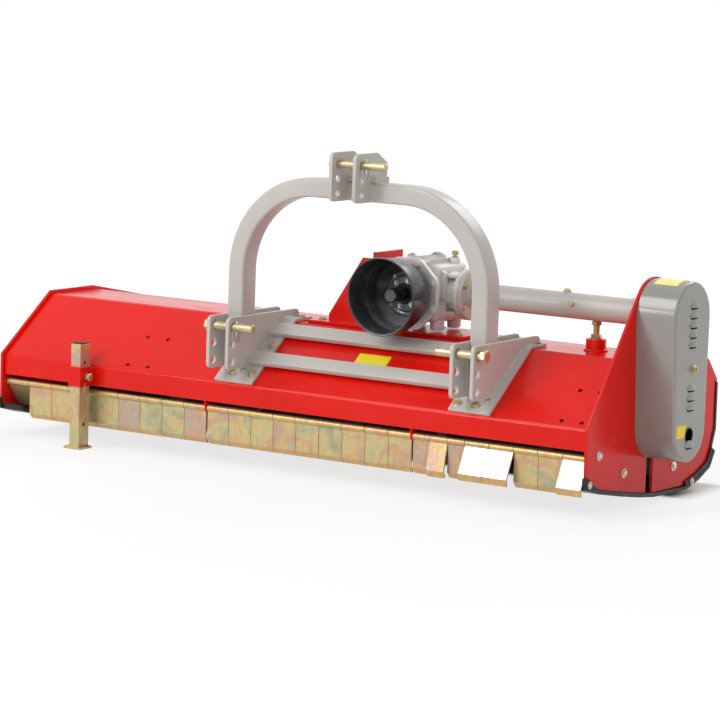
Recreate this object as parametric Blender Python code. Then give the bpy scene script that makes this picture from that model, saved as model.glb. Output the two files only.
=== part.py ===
"""Three-point flail mulcher with a belt drive, in metres, +Z up.

+X runs along the deck towards the belt cover and -Y points at the tractor.
Sizes are first laid out from the hitch centre plane (X = 0), the front face of
the deck (Y = 0) and the floor (Z = 0).  One empty then moves everything, so
that the middle of the machine's footprint is the origin.
"""

import math

import bmesh
import bpy
from mathutils import Matrix, Vector

# Clearances
SEAT_GAP = 0.0003          # between pieces that touch
BORE_GAP = 0.0003          # around a pin or shaft, on the radius
RUN_GAP = 0.001            # between a turning piece and its housing

# Deck, seen from the end
DECK_WIDTH = 1.788         # between the end plates
DECK_LEFT = -1.098         # inner face of the left end plate
SHEET = 0.005
FRONT_BOTTOM = 0.164
FRONT_FACE = 0.052
SLOPE_RUN = 0.193
SLOPE_RISE = 0.149
TOP_DEPTH = 0.179
REAR_RUN = 0.213
REAR_DROP = 0.040
BACK_RUN = 0.045
BACK_DROP = 0.050
SKIRT_LEAN = 0.006
SKIRT_DROP = 0.125

# End plates and skids
PLATE = 0.008
PLATE_PROUD = 0.009        # plate edge above the deck sheet
SKID_THICK = 0.010
SKID_SIDE = 0.002          # from the sole's inner edge to the second flap
SKID_CLEAR = 0.0135        # skid sole above the floor when parked
SKID_EAR = 0.006
SKID_LIP = 0.019           # height of the rear lip outside the plate
SKID_NOTCH = -0.004        # the sole is narrow in front of this, clear of the end flap
SOLE_LINE = (              # Y and height of the sole underside, from the toe to the rear
    (-0.0150, 0.090), (-0.0155, 0.077), (-0.011, 0.060), (0.050, 0.044), (0.149, 0.0265),
    (0.239, 0.0125), (0.320, 0.003), (0.486, 0.0), (0.548, 0.0155), (0.609, 0.0415), (0.634, 0.0815),
)
SLOT_HALF = 0.016          # open slot that lets the rotor shaft in
PLATE_BOLT_HOLE = 0.006
LEFT_HOLES = (0.400, 0.466)      # from the left end of the deck
RIGHT_HOLES = (0.080, 0.025)     # from its right end
HOLES_ALONG = (0.022, 0.127)     # up the slope

# Belt drive
DRIVE_Y = 0.292
DRIVE_Z = 0.470
ROTOR_Y = 0.302
ROTOR_Z = 0.196
COVER_DEPTH = 0.108
COVER_WALL = 0.0025
COVER_TOP_R = 0.089
COVER_LOW_R = 0.079
COVER_FLANGE = 0.003       # plate edge beyond the cover
LOUVER_LONG = 0.034
LOUVER_HIGH = 0.006
LOUVER_PITCH = 0.0238
LOUVER_TOP_Z = 0.494
LOUVER_LOW_Z = 0.293
LOUVER_LAST_Z = 0.153
SPY_HOLE_R = 0.018
SPY_HOLE = (0.293, 0.184)
DRIVE_PULLEY_R = 0.062
ROTOR_PULLEY_R = 0.0533
BELT_THICK = 0.010
BELT_WIDE = 0.064
PULLEY_WIDE = 0.070
PULLEY_LIP = 0.005
COVER_STUD_R = 0.008
COVER_STUD_Z = 0.345
COVER_BOLT_R = 0.0088      # head of the cover bolt, with the end of its stud
COVER_BOLT = 0.0140

# Shafts and bearings
SHAFT_R = 0.015
BEARING_R = 0.044
BEARING_THICK = 0.014
BEARING_HUB_R = 0.030
BEARING_HUB = 0.006

# Rotor
ROTOR_R = 0.054
ROTOR_WALL = 0.008
ROTOR_END_GAP = 0.036
HAMMER_TIP_R = 0.150
HAMMER_WIDE = 0.052
HAMMER_THICK = 0.012
HAMMER_COUNT = 24
HAMMER_TURN = 135.0        # from one hammer to the next, round the tube
LUG_WIDE = 0.030
LUG_R = 0.085

# Rear roller
ROLLER_R = 0.060
ROLLER_WALL = 0.006
ROLLER_Y = 0.545
ROLLER_END_GAP = 0.020
ARM_THICK = 0.012
ARM_WIDE = 0.080
ARM_TOP = 0.235

# Front flaps
ROD_R = 0.005
ROD_Y = 0.016
ROD_Z = 0.144
ROD_END = 0.002            # left of the plate beyond the rod's blind holes
EYE_R = 0.0085
FLAP_THICK = 0.005
FLAP_DROP = 0.078          # rod centre to the crease
FLAP_LIP = 0.018
LIP_ANGLE = 39.0
FLAP_GAP = 0.001
FLAP_GROUPS = ((4, 0.17025), (5, 0.20017), (9, 0.35123), (3, 0.08613))   # count and share of the deck width
LAST_FLAPS = 5             # these fill the rest of the width
HANGING = {1: 34.0, 20: -12.0, 22: -25.0, 23: -25.0, 26: -25.0}
TAB_THICK = 0.004

# Parking stand
STAND_X = -0.8205
LEG_WIDE = 0.031
LEG_DEEP = 0.041
LEG_WALL = 0.003
LEG_TOP = 0.276
LEG_SLACK = 0.0005
SOCKET_WALL = 0.004
FOOT_WIDE = 0.0535
FOOT_DEEP = 0.051
FOOT_THICK = 0.006
FOOT_SETBACK = 0.004       # foot plate to the deck face, clear of the flaps
LEG_HOLE_R = 0.0055
LEG_HOLES = (0.064, 0.226)
SCREW_R = 0.006
SCREW_HEAD_R = 0.010
SCREW_HEAD = 0.009
SCREW_STICK = 0.006

# Three-point hitch
CLEVIS_HALF = 0.364        # hitch centre to each lower clevis centre
TUBE_WIDE = 0.048          # arch tube, seen from the front
TUBE_DEEP = 0.060
TUBE_WALL = 0.005
CHEEK = 0.010
CHEEK_FRONT = -0.048
CHEEK_REAR = 0.262
CHEEK_TOP = 0.391
CHEEK_LOW = 0.257
CHEEK_ROUND = 0.014
BASE_THICK = 0.008
BASE_START = 0.004         # along the slope from its lower fold
BASE_MARGIN_OUT = 0.013
BASE_MARGIN_IN = 0.0355
BASE_SHIFT = 0.0065        # both base plates sit this far towards the belt side
LOWER_PIN_R = 0.011
LOWER_PIN_Y = -0.028
LOWER_PIN_Z = 0.366
LOWER_HOLE_PITCH = 0.044
LOWER_PIN_TIP = 0.063
LOWER_HEAD_R = 0.017
LOWER_HEAD = 0.014
RIGHT_PIN_OUT = 0.012
ARCH_Y = 0.022
ARCH_TOP = 0.755
ARCH_BEND_R = 0.250
BAR_WIDE = 0.040
BAR_THICK = 0.014
LOWER_BAR_AT = 0.0665      # along the slope from its lower fold
UPPER_BAR_AT = 0.1745

# Top link
TOP_GAP_HALF = 0.030
TOP_PLATE = 0.010
TOP_FRONT = -0.047
TOP_REAR = 0.094
TOP_RISE = 0.074           # clevis plates above the arch
TOP_CHAMFER_Y = 0.044
TOP_CHAMFER_Z = 0.026
TOP_ROUND = 0.016
TOP_PIN_R = 0.0095
TOP_PIN_Y = -0.019
TOP_PIN_DROP = 0.029       # top of the plates to the pin
TOP_HOLE_PITCH = 0.0365
TOP_PIN_TIP = 0.071
TOP_HEAD_R = 0.0135
TOP_HEAD = 0.012
SADDLE = 0.014

# Gearbox and power take-off
BOX_X = 0.049
BOX_HALF = 0.078
BOX_DEEP_HALF = 0.080
BOX_TALL_HALF = 0.080
BOX_EDGE = 0.018
BOX_WALL = 0.014
INPUT_REACH = 0.107        # axis to the input flange face
INPUT_R = 0.095
INPUT_THICK = 0.016
OUTPUT_REACH = 0.122       # axis to the output flange face
OUTPUT_R = 0.065
OUTPUT_THICK = 0.014
OUTPUT_NECK_R = 0.048
INPUT_HUB_R = 0.045
INPUT_HUB = 0.010
SIDE_REACH = 0.114         # axis to the stand's side face
BOX_FOOT_R = 0.017
BOX_FOOT = 0.026
GEAR_R = 0.055
PINION_R = 0.0225
GEAR_FACE = 0.018
GEAR_BACK = 0.012
MESH_GAP = 0.0006
GUARD_RIM_R = 0.099
GUARD_BACK_R = 0.083
GUARD_LONG = 0.118
GUARD_WALL = 0.004
GUARD_FLANGE_R = 0.050
SPLINE_R = 0.0175
SPLINE_REACH = 0.075

# Gearbox stand
STAND_BASE_LEFT = -0.262
STAND_BASE_RIGHT = 0.205
STAND_BASE_FRONT = 0.202
STAND_BASE_REAR = 0.352
STAND_BASE_THICK = 0.008
SIDE_PLATE = 0.008
SIDE_FRONT = 0.212
SIDE_REAR = 0.340
SIDE_TOP = 0.562
GUSSET_WIDE = 0.135
GUSSET_TOP_WIDE = 0.036
GUSSET_TOE = 0.018
GUSSET_TOP = 0.545
GUSSET_Y = 0.219

# Drive tube and its jack
TUBE_R = 0.032
TUBE_SKIN = 0.005
TUBE_FLANGE = 0.012
SLEEVE_R = 0.0345
SLEEVE_LONG = 0.050
SLEEVE_SKIN = 0.0025
JACK_INSET = 0.150         # right end of the deck to the jack
JACK_BOSS_R = 0.0255
JACK_BOSS = 0.029
JACK_WELD = 0.004
JACK_BOLT_R = 0.008
JACK_NUT_R = 0.0135
JACK_NUT = 0.009

FINE = 32                  # sides of a large turned piece
COARSE = 16                # sides of a small turned piece
TUBE_SIDES = 24

# Places that follow from the sizes above
DECK_RIGHT = DECK_LEFT + DECK_WIDTH
LEFT_OUT = DECK_LEFT - PLATE
RIGHT_OUT = DECK_RIGHT + PLATE
FOLD_Z = FRONT_BOTTOM + FRONT_FACE
TOP_Z = FOLD_Z + SLOPE_RISE
TOP_REAR_Y = SLOPE_RUN + TOP_DEPTH
SLOPE_LONG = math.hypot(SLOPE_RUN, SLOPE_RISE)
SLOPE = math.atan2(SLOPE_RISE, SLOPE_RUN)
BACK_Y = TOP_REAR_Y + REAR_RUN + BACK_RUN + SKIRT_LEAN
JACK_X = DECK_RIGHT - JACK_INSET
TOP_TOP = ARCH_TOP + TOP_RISE
TOP_PIN_Z = TOP_TOP - TOP_PIN_DROP
COVER_FACE = RIGHT_OUT + SEAT_GAP + COVER_DEPTH
ROLLER_Z = ROLLER_R
CHEEK_IN = CLEVIS_HALF - TUBE_WIDE / 2 - SEAT_GAP - CHEEK
CHEEK_OUT = CLEVIS_HALF + TUBE_WIDE / 2 + SEAT_GAP + CHEEK
LEG_Y = -SEAT_GAP - SOCKET_WALL - LEG_SLACK - LEG_DEEP / 2
SOCKET_FRONT = LEG_Y - LEG_DEEP / 2 - LEG_SLACK - SOCKET_WALL
PULLEY_X = RIGHT_OUT + BEARING_THICK + BEARING_HUB + RUN_GAP
BELT_X = PULLEY_X + (PULLEY_WIDE - BELT_WIDE) / 2
STAND_FACE = BOX_X - SIDE_REACH
TUBE_START = BOX_X + OUTPUT_REACH + SEAT_GAP

RED = (0.62, 0.03, 0.02)
GREY = (0.50, 0.48, 0.45)
COVER_GREY = (0.38, 0.36, 0.34)
BLACK = (0.02, 0.02, 0.02)
ZINC = (0.62, 0.50, 0.24)
CAST = (0.55, 0.55, 0.55)
STEEL = (0.45, 0.45, 0.46)
RUBBER = (0.03, 0.03, 0.03)


# Shapes

def new_object(mesh):
    """Link a mesh to the scene under a passing name."""
    obj = bpy.data.objects.new("shape", mesh)
    bpy.context.scene.collection.objects.link(obj)
    return obj


def finish(bm):
    """Turn a bmesh into a linked object with its faces pointing out."""
    bmesh.ops.recalc_face_normals(bm, faces=bm.faces)
    mesh = bpy.data.meshes.new("shape")
    bm.to_mesh(mesh)
    bm.free()
    return new_object(mesh)


def prism(outline, low, high, axis="X"):
    """Extrude a 2-D outline along X (points are Y, Z), Y (X, Z) or Z (X, Y)."""
    bm = bmesh.new()
    places = {
        "X": lambda a, b, c: (c, a, b),
        "Y": lambda a, b, c: (a, c, b),
        "Z": lambda a, b, c: (a, b, c),
    }
    place = places[axis]
    first = [bm.verts.new(place(a, b, low)) for a, b in outline]
    last = [bm.verts.new(place(a, b, high)) for a, b in outline]
    bm.faces.new(first)
    bm.faces.new(last)
    count = len(outline)
    for i in range(count):
        j = (i + 1) % count
        bm.faces.new((first[i], first[j], last[j], last[i]))
    return finish(bm)


def box(x, y, z):
    """A block between three pairs of limits."""
    outline = [(y[0], z[0]), (y[1], z[0]), (y[1], z[1]), (y[0], z[1])]
    return prism(outline, x[0], x[1])


def turned(profile, centre, axis="X", sides=COARSE):
    """Spin (along, radius) points about an axis through centre.

    A profile that starts and ends on the axis makes a solid with flat ends;
    one that keeps off it closes on itself and makes a ring.
    """
    bm = bmesh.new()
    rings = []
    for along, radius in profile:
        if radius <= 0.0:
            continue
        ring = []
        for i in range(sides):
            angle = 2 * math.pi * (i + 0.5) / sides
            ring.append(bm.verts.new((along, radius * math.cos(angle), radius * math.sin(angle))))
        rings.append(ring)
    if len(rings) < len(profile):
        bm.faces.new(rings[0])
        bm.faces.new(rings[-1])
        pairs = zip(rings[:-1], rings[1:])
    else:
        pairs = zip(rings, rings[1:] + rings[:1])
    for a, b in pairs:
        for i in range(sides):
            j = (i + 1) % sides
            bm.faces.new((a[i], a[j], b[j], b[i]))
    turn = {
        "X": Matrix.Identity(4),
        "Y": Matrix.Rotation(math.pi / 2, 4, "Z"),
        "Z": Matrix.Rotation(-math.pi / 2, 4, "Y"),
    }[axis]
    bmesh.ops.transform(bm, matrix=Matrix.Translation(centre) @ turn, verts=bm.verts)
    return finish(bm)


def rod(centre, radius, start, end, axis="X", sides=COARSE):
    """A solid cylinder from start to end along its axis, measured from centre."""
    profile = [(start, 0.0), (start, radius), (end, radius), (end, 0.0)]
    return turned(profile, centre, axis, sides)


def drill(centre, radius, start, end, axis="X", sides=COARSE):
    """Cutter for a hole whose flats clear a round piece of the given radius."""
    return rod(centre, (radius + BORE_GAP) / math.cos(math.pi / sides), start, end, axis, sides)


def arc(centre, radius, start, end, steps):
    """Points along an arc in degrees, both ends included."""
    points = []
    for i in range(steps + 1):
        angle = math.radians(start + (end - start) * i / steps)
        points.append((centre[0] + radius * math.cos(angle), centre[1] + radius * math.sin(angle)))
    return points


def offset_line(points, distance):
    """Move an open line of points sideways, to its left, keeping its corners."""
    moved = []
    for i, point in enumerate(points):
        here = Vector(point)
        before = (here - Vector(points[i - 1])).normalized() if i > 0 else None
        after = (Vector(points[i + 1]) - here).normalized() if i + 1 < len(points) else None
        before = before or after
        after = after or before
        left_a = Vector((-before.y, before.x))
        left_b = Vector((-after.y, after.x))
        mid = (left_a + left_b).normalized()
        moved.append(tuple(here + mid * (distance / mid.dot(left_a))))
    return moved


def strip(points, thickness):
    """A closed outline of even thickness, to the left of an open line."""
    return points + offset_line(points, thickness)[::-1]


def join(parts):
    """Put separate solids in one object, to add or cut them in one step."""
    bm = bmesh.new()
    for part in parts:
        bm.from_mesh(part.data)
        bpy.data.objects.remove(part)
    mesh = bpy.data.meshes.new("shape")
    bm.to_mesh(mesh)
    bm.free()
    return new_object(mesh)


def combine(base, add=(), cut=()):
    """Add and cut solids with exact booleans, and keep the result as a mesh."""
    tools = []
    for kind, shapes in (("UNION", add), ("DIFFERENCE", cut)):
        for shape in shapes:
            modifier = base.modifiers.new(kind.title(), "BOOLEAN")
            modifier.operation = kind
            modifier.solver = "EXACT"
            modifier.object = shape
            tools.append(shape)
    if tools:
        graph = bpy.context.evaluated_depsgraph_get()
        mesh = bpy.data.meshes.new_from_object(base.evaluated_get(graph))
        base.modifiers.clear()
        base.data = mesh
        for tool in tools:
            bpy.data.objects.remove(tool)
    return base


def material(name, colour, roughness, metallic):
    """A Principled material, made once for each name."""
    found = bpy.data.materials.get(name)
    if found:
        return found
    made = bpy.data.materials.new(name)
    made.use_nodes = True
    shader = made.node_tree.nodes["Principled BSDF"]
    shader.inputs["Base Color"].default_value = (*colour, 1.0)
    shader.inputs["Roughness"].default_value = roughness
    shader.inputs["Metallic"].default_value = metallic
    return made


FINISHES = {
    "red": (RED, 0.30, 0.0),
    "grey": (GREY, 0.40, 0.0),
    "cover_grey": (COVER_GREY, 0.42, 0.0),
    "black_paint": (BLACK, 0.45, 0.0),
    "black_plastic": (BLACK, 0.35, 0.0),
    "zinc": (ZINC, 0.35, 0.9),
    "cast": (CAST, 0.55, 0.8),
    "steel": (STEEL, 0.35, 0.9),
    "rubber": (RUBBER, 0.80, 0.0),
}


def piece(name, finish_name, shape, origin=(0.0, 0.0, 0.0)):
    """Name a shape as one sub-part, with its origin where it turns or seats."""
    shape.name = name
    shape.data.name = name
    shape.data.transform(Matrix.Translation(-Vector(origin)))
    shape.location = origin
    shape.parent = bpy.data.objects["machine"]
    shape.data.materials.clear()
    shape.data.materials.append(material(finish_name, *FINISHES[finish_name]))
    shape.data.shade_smooth()
    shape.data.set_sharp_from_angle(angle=math.radians(35))
    return shape


# Outlines shared by several pieces

def tab_places():
    """Where the two rod tabs stand, at the ends of the second and third groups of flaps."""
    shares = [share for _, share in FLAP_GROUPS]
    return [DECK_LEFT + sum(shares[:groups]) * DECK_WIDTH for groups in (2, 3)]


def deck_line():
    """Outer line of the deck sheet, from the front lower edge over to the back."""
    y, z = 0.0, FRONT_BOTTOM
    points = [(y, z)]
    moves = (
        (0.0, FRONT_FACE),
        (SLOPE_RUN, SLOPE_RISE),
        (TOP_DEPTH, 0.0),
        (REAR_RUN, -REAR_DROP),
        (BACK_RUN, -BACK_DROP),
        (SKIRT_LEAN, -SKIRT_DROP),
    )
    for run, rise in moves:
        y, z = y + run, z + rise
        points.append((y, z))
    return points


def on_slope(along, above):
    """Y and Z of a place on the front slope, measured along it and square off it."""
    y = along * math.cos(SLOPE) - above * math.sin(SLOPE)
    z = FOLD_Z + along * math.sin(SLOPE) + above * math.cos(SLOPE)
    return y, z


def sole_line():
    """Underside of a skid, from the top of its toe to its rear end."""
    return [(y, SKID_CLEAR + z) for y, z in SOLE_LINE]


def plate_foot():
    """Lower edge of an end plate, which seats in its skid, from rear to front."""
    line = sole_line()
    inner = offset_line(line, SKID_THICK + SEAT_GAP)
    above = line[0][1] + SEAT_GAP
    return inner[::-1] + [(inner[0][0], above), (-PLATE_PROUD, above)]


def tangent_line(point, centre, radius):
    """Where a line from a point in front of a circle first touches its upper side."""
    gap = Vector(centre) - Vector(point)
    lean = math.atan2(gap.y, gap.x) + math.asin(radius / gap.length)
    foot = math.sqrt(gap.length ** 2 - radius ** 2)
    return point[0] + foot * math.cos(lean), point[1] + foot * math.sin(lean)


def cover_outline(grow=0.0, steps=14):
    """Round-ended outline of the belt cover: a large arc above a smaller one."""
    top, low = Vector((DRIVE_Y, DRIVE_Z)), Vector((ROTOR_Y - 0.004, ROTOR_Z))
    between = top - low
    lean = math.degrees(math.atan2(between.y, between.x))
    swell = math.degrees(math.asin((COVER_TOP_R - COVER_LOW_R) / between.length))
    points = arc(top, COVER_TOP_R + grow, lean - 90 - swell, lean + 90 + swell, steps)
    points += arc(low, COVER_LOW_R + grow, lean + 90 + swell, lean + 270 - swell, steps)
    return points


# Deck, end plates and skids

def build_deck():
    """The folded sheet, with its two flap rod tabs and the welded jack boss."""
    skin = prism(strip(deck_line(), -SHEET), DECK_LEFT + SEAT_GAP, DECK_RIGHT - SEAT_GAP)
    tabs = []
    for x in tab_places():
        outline = [
            (SHEET / 2, FRONT_BOTTOM + 0.030),
            (SHEET / 2, FRONT_BOTTOM + 0.004),
            (ROD_Y - EYE_R - 0.002, ROD_Z - EYE_R),
            (ROD_Y + EYE_R, ROD_Z - EYE_R),
            (ROD_Y + EYE_R, FRONT_BOTTOM + 0.030),
        ]
        tabs.append(prism(outline, x - TAB_THICK / 2, x + TAB_THICK / 2))
    holes = []
    for x in [DECK_LEFT + inset for inset in LEFT_HOLES] + [DECK_RIGHT - inset for inset in RIGHT_HOLES]:
        for along in HOLES_ALONG:
            y, z = on_slope(along, 0.0)
            hole = rod((0.0, 0.0, 0.0), PLATE_BOLT_HOLE, -0.02, 0.02, "Z", 10)
            hole.data.transform(Matrix.Translation((x, y, z)) @ Matrix.Rotation(SLOPE, 4, "X"))
            holes.append(hole)
    boss_at = (JACK_X, DRIVE_Y, TOP_Z)
    weld = rod(boss_at, JACK_BOSS_R + JACK_WELD, -SHEET / 2, JACK_WELD, "Z", 24)
    boss = rod(boss_at, JACK_BOSS_R, -SHEET / 2, JACK_BOSS, "Z", 24)
    shell = combine(skin, tabs + [weld, boss], [rod_hole(DECK_LEFT + 0.01, DECK_RIGHT - 0.01), join(holes)])
    piece("deck_shell", "red", shell)


def rotor_slot(low, high):
    """Cutter for the open slot under the rotor shaft, rounded at its top."""
    outline = arc((ROTOR_Y, ROTOR_Z), SLOT_HALF, 0, 180, 8)
    outline += [(ROTOR_Y - SLOT_HALF, 0.0), (ROTOR_Y + SLOT_HALF, 0.0)]
    return prism(outline, low - 0.01, high + 0.01)


def rod_hole(low, high):
    """Cutter for a stretch of the flap rod's hole."""
    return drill((0.0, ROD_Y, ROD_Z), ROD_R, low, high)


def build_end_plates():
    """Left plate follows the deck; the right one rises behind the belt cover."""
    rim = offset_line(deck_line(), PLATE_PROUD)
    foot = plate_foot()
    left = prism(rim + foot, LEFT_OUT, DECK_LEFT)
    holes = [rotor_slot(LEFT_OUT, DECK_LEFT), rod_hole(LEFT_OUT + ROD_END, DECK_LEFT + 0.01)]
    piece("end_plate_left", "red", combine(left, (), holes))

    radius = COVER_TOP_R + COVER_FLANGE
    start = (-PLATE_PROUD, FOLD_Z + 0.004)
    touch = tangent_line(start, (DRIVE_Y, DRIVE_Z), radius)
    angle = math.degrees(math.atan2(touch[1] - DRIVE_Z, touch[0] - DRIVE_Y))
    outline = [start]
    outline += arc((DRIVE_Y, DRIVE_Z), radius, angle, -2, 14)
    outline += [(DRIVE_Y + radius, TOP_Z)] + rim[4:] + foot
    right = prism(outline, DECK_RIGHT, RIGHT_OUT)
    shaft_hole = drill((0.0, DRIVE_Y, DRIVE_Z), SHAFT_R + RUN_GAP, DECK_RIGHT - 0.01, RIGHT_OUT + 0.01)
    stud_end = COVER_DEPTH - COVER_WALL
    stud = rod((RIGHT_OUT, ROTOR_Y - 0.001, COVER_STUD_Z), COVER_STUD_R, -PLATE / 2, stud_end)
    holes = [rotor_slot(DECK_RIGHT, RIGHT_OUT), shaft_hole]
    holes.append(rod_hole(DECK_RIGHT - 0.01, RIGHT_OUT - ROD_END))
    piece("end_plate_right", "red", combine(right, [stud], holes))


def build_skids():
    """Flat bars bent round the foot of each end plate, with an ear at each end."""
    line = sole_line()
    sole = strip(line, SKID_THICK)
    inset = offset_line(line, SKID_THICK / 5)
    front_ear = inset[:4] + [(line[3][0], line[3][1] + SKID_THICK + SEAT_GAP)]
    rear_ear = strip(inset[7:], SKID_LIP)
    for name, out, way in (("skid_left", LEFT_OUT, -1), ("skid_right", RIGHT_OUT, 1)):
        face = out + way * SEAT_GAP
        first_pitch = FLAP_GROUPS[0][1] * DECK_WIDTH / FLAP_GROUPS[0][0]
        reach = SEAT_GAP + PLATE + min(first_pitch, last_pitch()) - SKID_SIDE
        edges = sorted((face + way * SKID_EAR, face - way * reach))
        bar = prism(sole, edges[0], edges[1])
        outer = face + way * (SKID_EAR - SEAT_GAP)
        ears = [prism(ear, *sorted((face, outer))) for ear in (front_ear, rear_ear)]
        inside = sorted((face - way * (PLATE + SEAT_GAP), face - way * (reach + 0.01)))
        notches = [
            box(inside, (-0.1, SKID_NOTCH), (0.0, FRONT_BOTTOM)),
            box(inside, (ROLLER_Y - ROLLER_R - 0.015, BACK_Y + 0.1), (0.0, FRONT_BOTTOM)),
        ]
        piece(name, "black_paint", combine(bar, ears, [join(notches)]))


def build_rod():
    """The long rod that the front flaps hang on, its ends in blind holes."""
    low, high = LEFT_OUT + ROD_END + SEAT_GAP, RIGHT_OUT - ROD_END - SEAT_GAP
    piece("flap_rod", "zinc", rod((0.0, ROD_Y, ROD_Z), ROD_R, low, high, sides=12))


# Flaps

def flap_shape(width):
    """One flap about its own rod centre: a rolled eye, a flat blade and a bent lip."""
    half = FLAP_THICK / 2
    open_angle = math.degrees(math.asin(half / EYE_R))
    lean = math.radians(LIP_ANGLE)
    turn = half * math.tan(lean / 2)
    down = -FLAP_DROP
    lip = (math.sin(lean) * FLAP_LIP, -math.cos(lean) * FLAP_LIP)
    outline = arc((0.0, 0.0), EYE_R, -90 + open_angle, 270 - open_angle, 14)
    outline += [(-half, down - turn), (-half + lip[0], down - turn + lip[1])]
    behind = (FLAP_THICK * math.cos(lean), FLAP_THICK * math.sin(lean))
    outline += [(-half + lip[0] + behind[0], down - turn + lip[1] + behind[1])]
    outline += [(half, down + turn)]
    blade = prism(outline, -width / 2, width / 2)
    bore = drill((0.0, 0.0, 0.0), ROD_R, -width, width, sides=12)
    return combine(blade, (), [bore])


def last_pitch():
    """Width of each flap in the last group, which takes what the others leave."""
    return DECK_WIDTH * (1.0 - sum(share for _, share in FLAP_GROUPS)) / LAST_FLAPS


def flap_places():
    """Left and right limits of each flap, from left to right."""
    groups = [(count, share * DECK_WIDTH / count) for count, share in FLAP_GROUPS]
    groups.append((LAST_FLAPS, last_pitch()))
    places = []
    start = DECK_LEFT
    for count, pitch in groups:
        for _ in range(count):
            places.append((start, start + pitch))
            start += pitch
    return places


def build_flaps():
    """Every flap hangs on the rod by itself and keeps clear of the rod tabs."""
    for number, (low, high) in enumerate(flap_places(), start=1):
        for tab in tab_places():
            low += TAB_THICK / 2 if abs(low - tab) < FLAP_GAP else 0.0
            high -= TAB_THICK / 2 if abs(high - tab) < FLAP_GAP else 0.0
        flap = piece(f"flap_{number:02d}", "zinc", flap_shape(high - low - FLAP_GAP))
        flap.location = ((low + high) / 2, ROD_Y, ROD_Z)
        flap.rotation_euler = (math.radians(HANGING.get(number, 0.0)), 0.0, 0.0)


# Parking stand

def build_stand():
    """Socket on the deck's front face, sliding leg with its foot, and clamp screw."""
    half, inner = LEG_WIDE / 2 + LEG_SLACK + SOCKET_WALL, LEG_WIDE / 2 + LEG_SLACK
    tall = (FRONT_BOTTOM, FOLD_Z)
    outer = box((STAND_X - half, STAND_X + half), (SOCKET_FRONT, -SEAT_GAP), tall)
    bore_y = (LEG_Y - LEG_DEEP / 2 - LEG_SLACK, LEG_Y + LEG_DEEP / 2 + LEG_SLACK)
    bore = box((STAND_X - inner, STAND_X + inner), bore_y, (tall[0] - 0.01, tall[1] + 0.01))
    middle = (tall[0] + tall[1]) / 2
    screw_at = (STAND_X, LEG_Y, middle)
    screw_hole = drill(screw_at, SCREW_R, inner - 0.002, half + 0.01, sides=12)
    piece("stand_socket", "red", combine(outer, (), [bore, screw_hole]))

    sides = (STAND_X - LEG_WIDE / 2, STAND_X + LEG_WIDE / 2)
    depth = (LEG_Y - LEG_DEEP / 2, LEG_Y + LEG_DEEP / 2)
    tube = box(sides, depth, (FOOT_THICK / 2, LEG_TOP))
    foot_back = -FOOT_SETBACK
    foot_sides = (STAND_X - FOOT_WIDE / 2, STAND_X + FOOT_WIDE / 2)
    foot = box(foot_sides, (foot_back - FOOT_DEEP, foot_back), (0, FOOT_THICK))
    hollow = box(
        (sides[0] + LEG_WALL, sides[1] - LEG_WALL),
        (depth[0] + LEG_WALL, depth[1] - LEG_WALL),
        (FOOT_THICK, LEG_TOP + 0.01),
    )
    drills = [rod((STAND_X, LEG_Y, z), LEG_HOLE_R, -LEG_WIDE, LEG_WIDE, sides=12) for z in LEG_HOLES]
    leg = combine(tube, [foot], [hollow, join(drills)])
    piece("stand_leg", "zinc", leg, (STAND_X, LEG_Y, 0.0))

    start, end = LEG_WIDE / 2 + SEAT_GAP, half + SCREW_STICK
    profile = [
        (start, 0.0), (start, SCREW_R), (end, SCREW_R), (end, SCREW_HEAD_R),
        (end + SCREW_HEAD, SCREW_HEAD_R), (end + SCREW_HEAD, 0.0),
    ]
    piece("stand_screw", "zinc", turned(profile, screw_at, sides=12), screw_at)


# Hitch

def base_line():
    """Underside of a bracket's base plate, up the slope and onto the top."""
    lifted = SEAT_GAP
    return [on_slope(BASE_START, lifted), fold_point(lifted), (CHEEK_REAR, TOP_Z + lifted)]


def fold_point(above):
    """The upper fold of the deck, moved square off both faces."""
    shift = above * math.tan(SLOPE / 2)
    return SLOPE_RUN - shift, TOP_Z + above


def bracket(side):
    """One lower hitch bracket: a folded base plate and two pin cheeks."""
    inner, outer = CHEEK_IN - BASE_MARGIN_IN, CHEEK_OUT + BASE_MARGIN_OUT
    edges = sorted((side * inner + BASE_SHIFT, side * outer + BASE_SHIFT))
    base = prism(strip(base_line(), BASE_THICK), *edges)
    sink = SEAT_GAP + BASE_THICK / 2
    start = (CHEEK_LOW - on_slope(0.0, sink)[1]) / math.sin(SLOPE)
    r = CHEEK_ROUND
    outline = [on_slope(start, sink), fold_point(sink), (CHEEK_REAR - 0.0005, TOP_Z + sink)]
    outline += arc((CHEEK_REAR - r, CHEEK_TOP - r), r, 0, 90, 4)
    outline += arc((CHEEK_FRONT + r, CHEEK_TOP - r), r, 90, 180, 4)
    outline += arc((CHEEK_FRONT + r, CHEEK_LOW + r), r, 180, 270, 4)
    cheeks = []
    for x in (CHEEK_IN, CHEEK_OUT - CHEEK):
        cheeks.append(prism(outline, *sorted((side * x, side * (x + CHEEK)))))
    drills = []
    for k in range(3):
        centre = (side * CLEVIS_HALF, LOWER_PIN_Y, LOWER_PIN_Z - k * LOWER_HOLE_PITCH)
        drills.append(drill(centre, LOWER_PIN_R, -0.05, 0.05))
    return combine(base, cheeks, [join(drills)])


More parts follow.
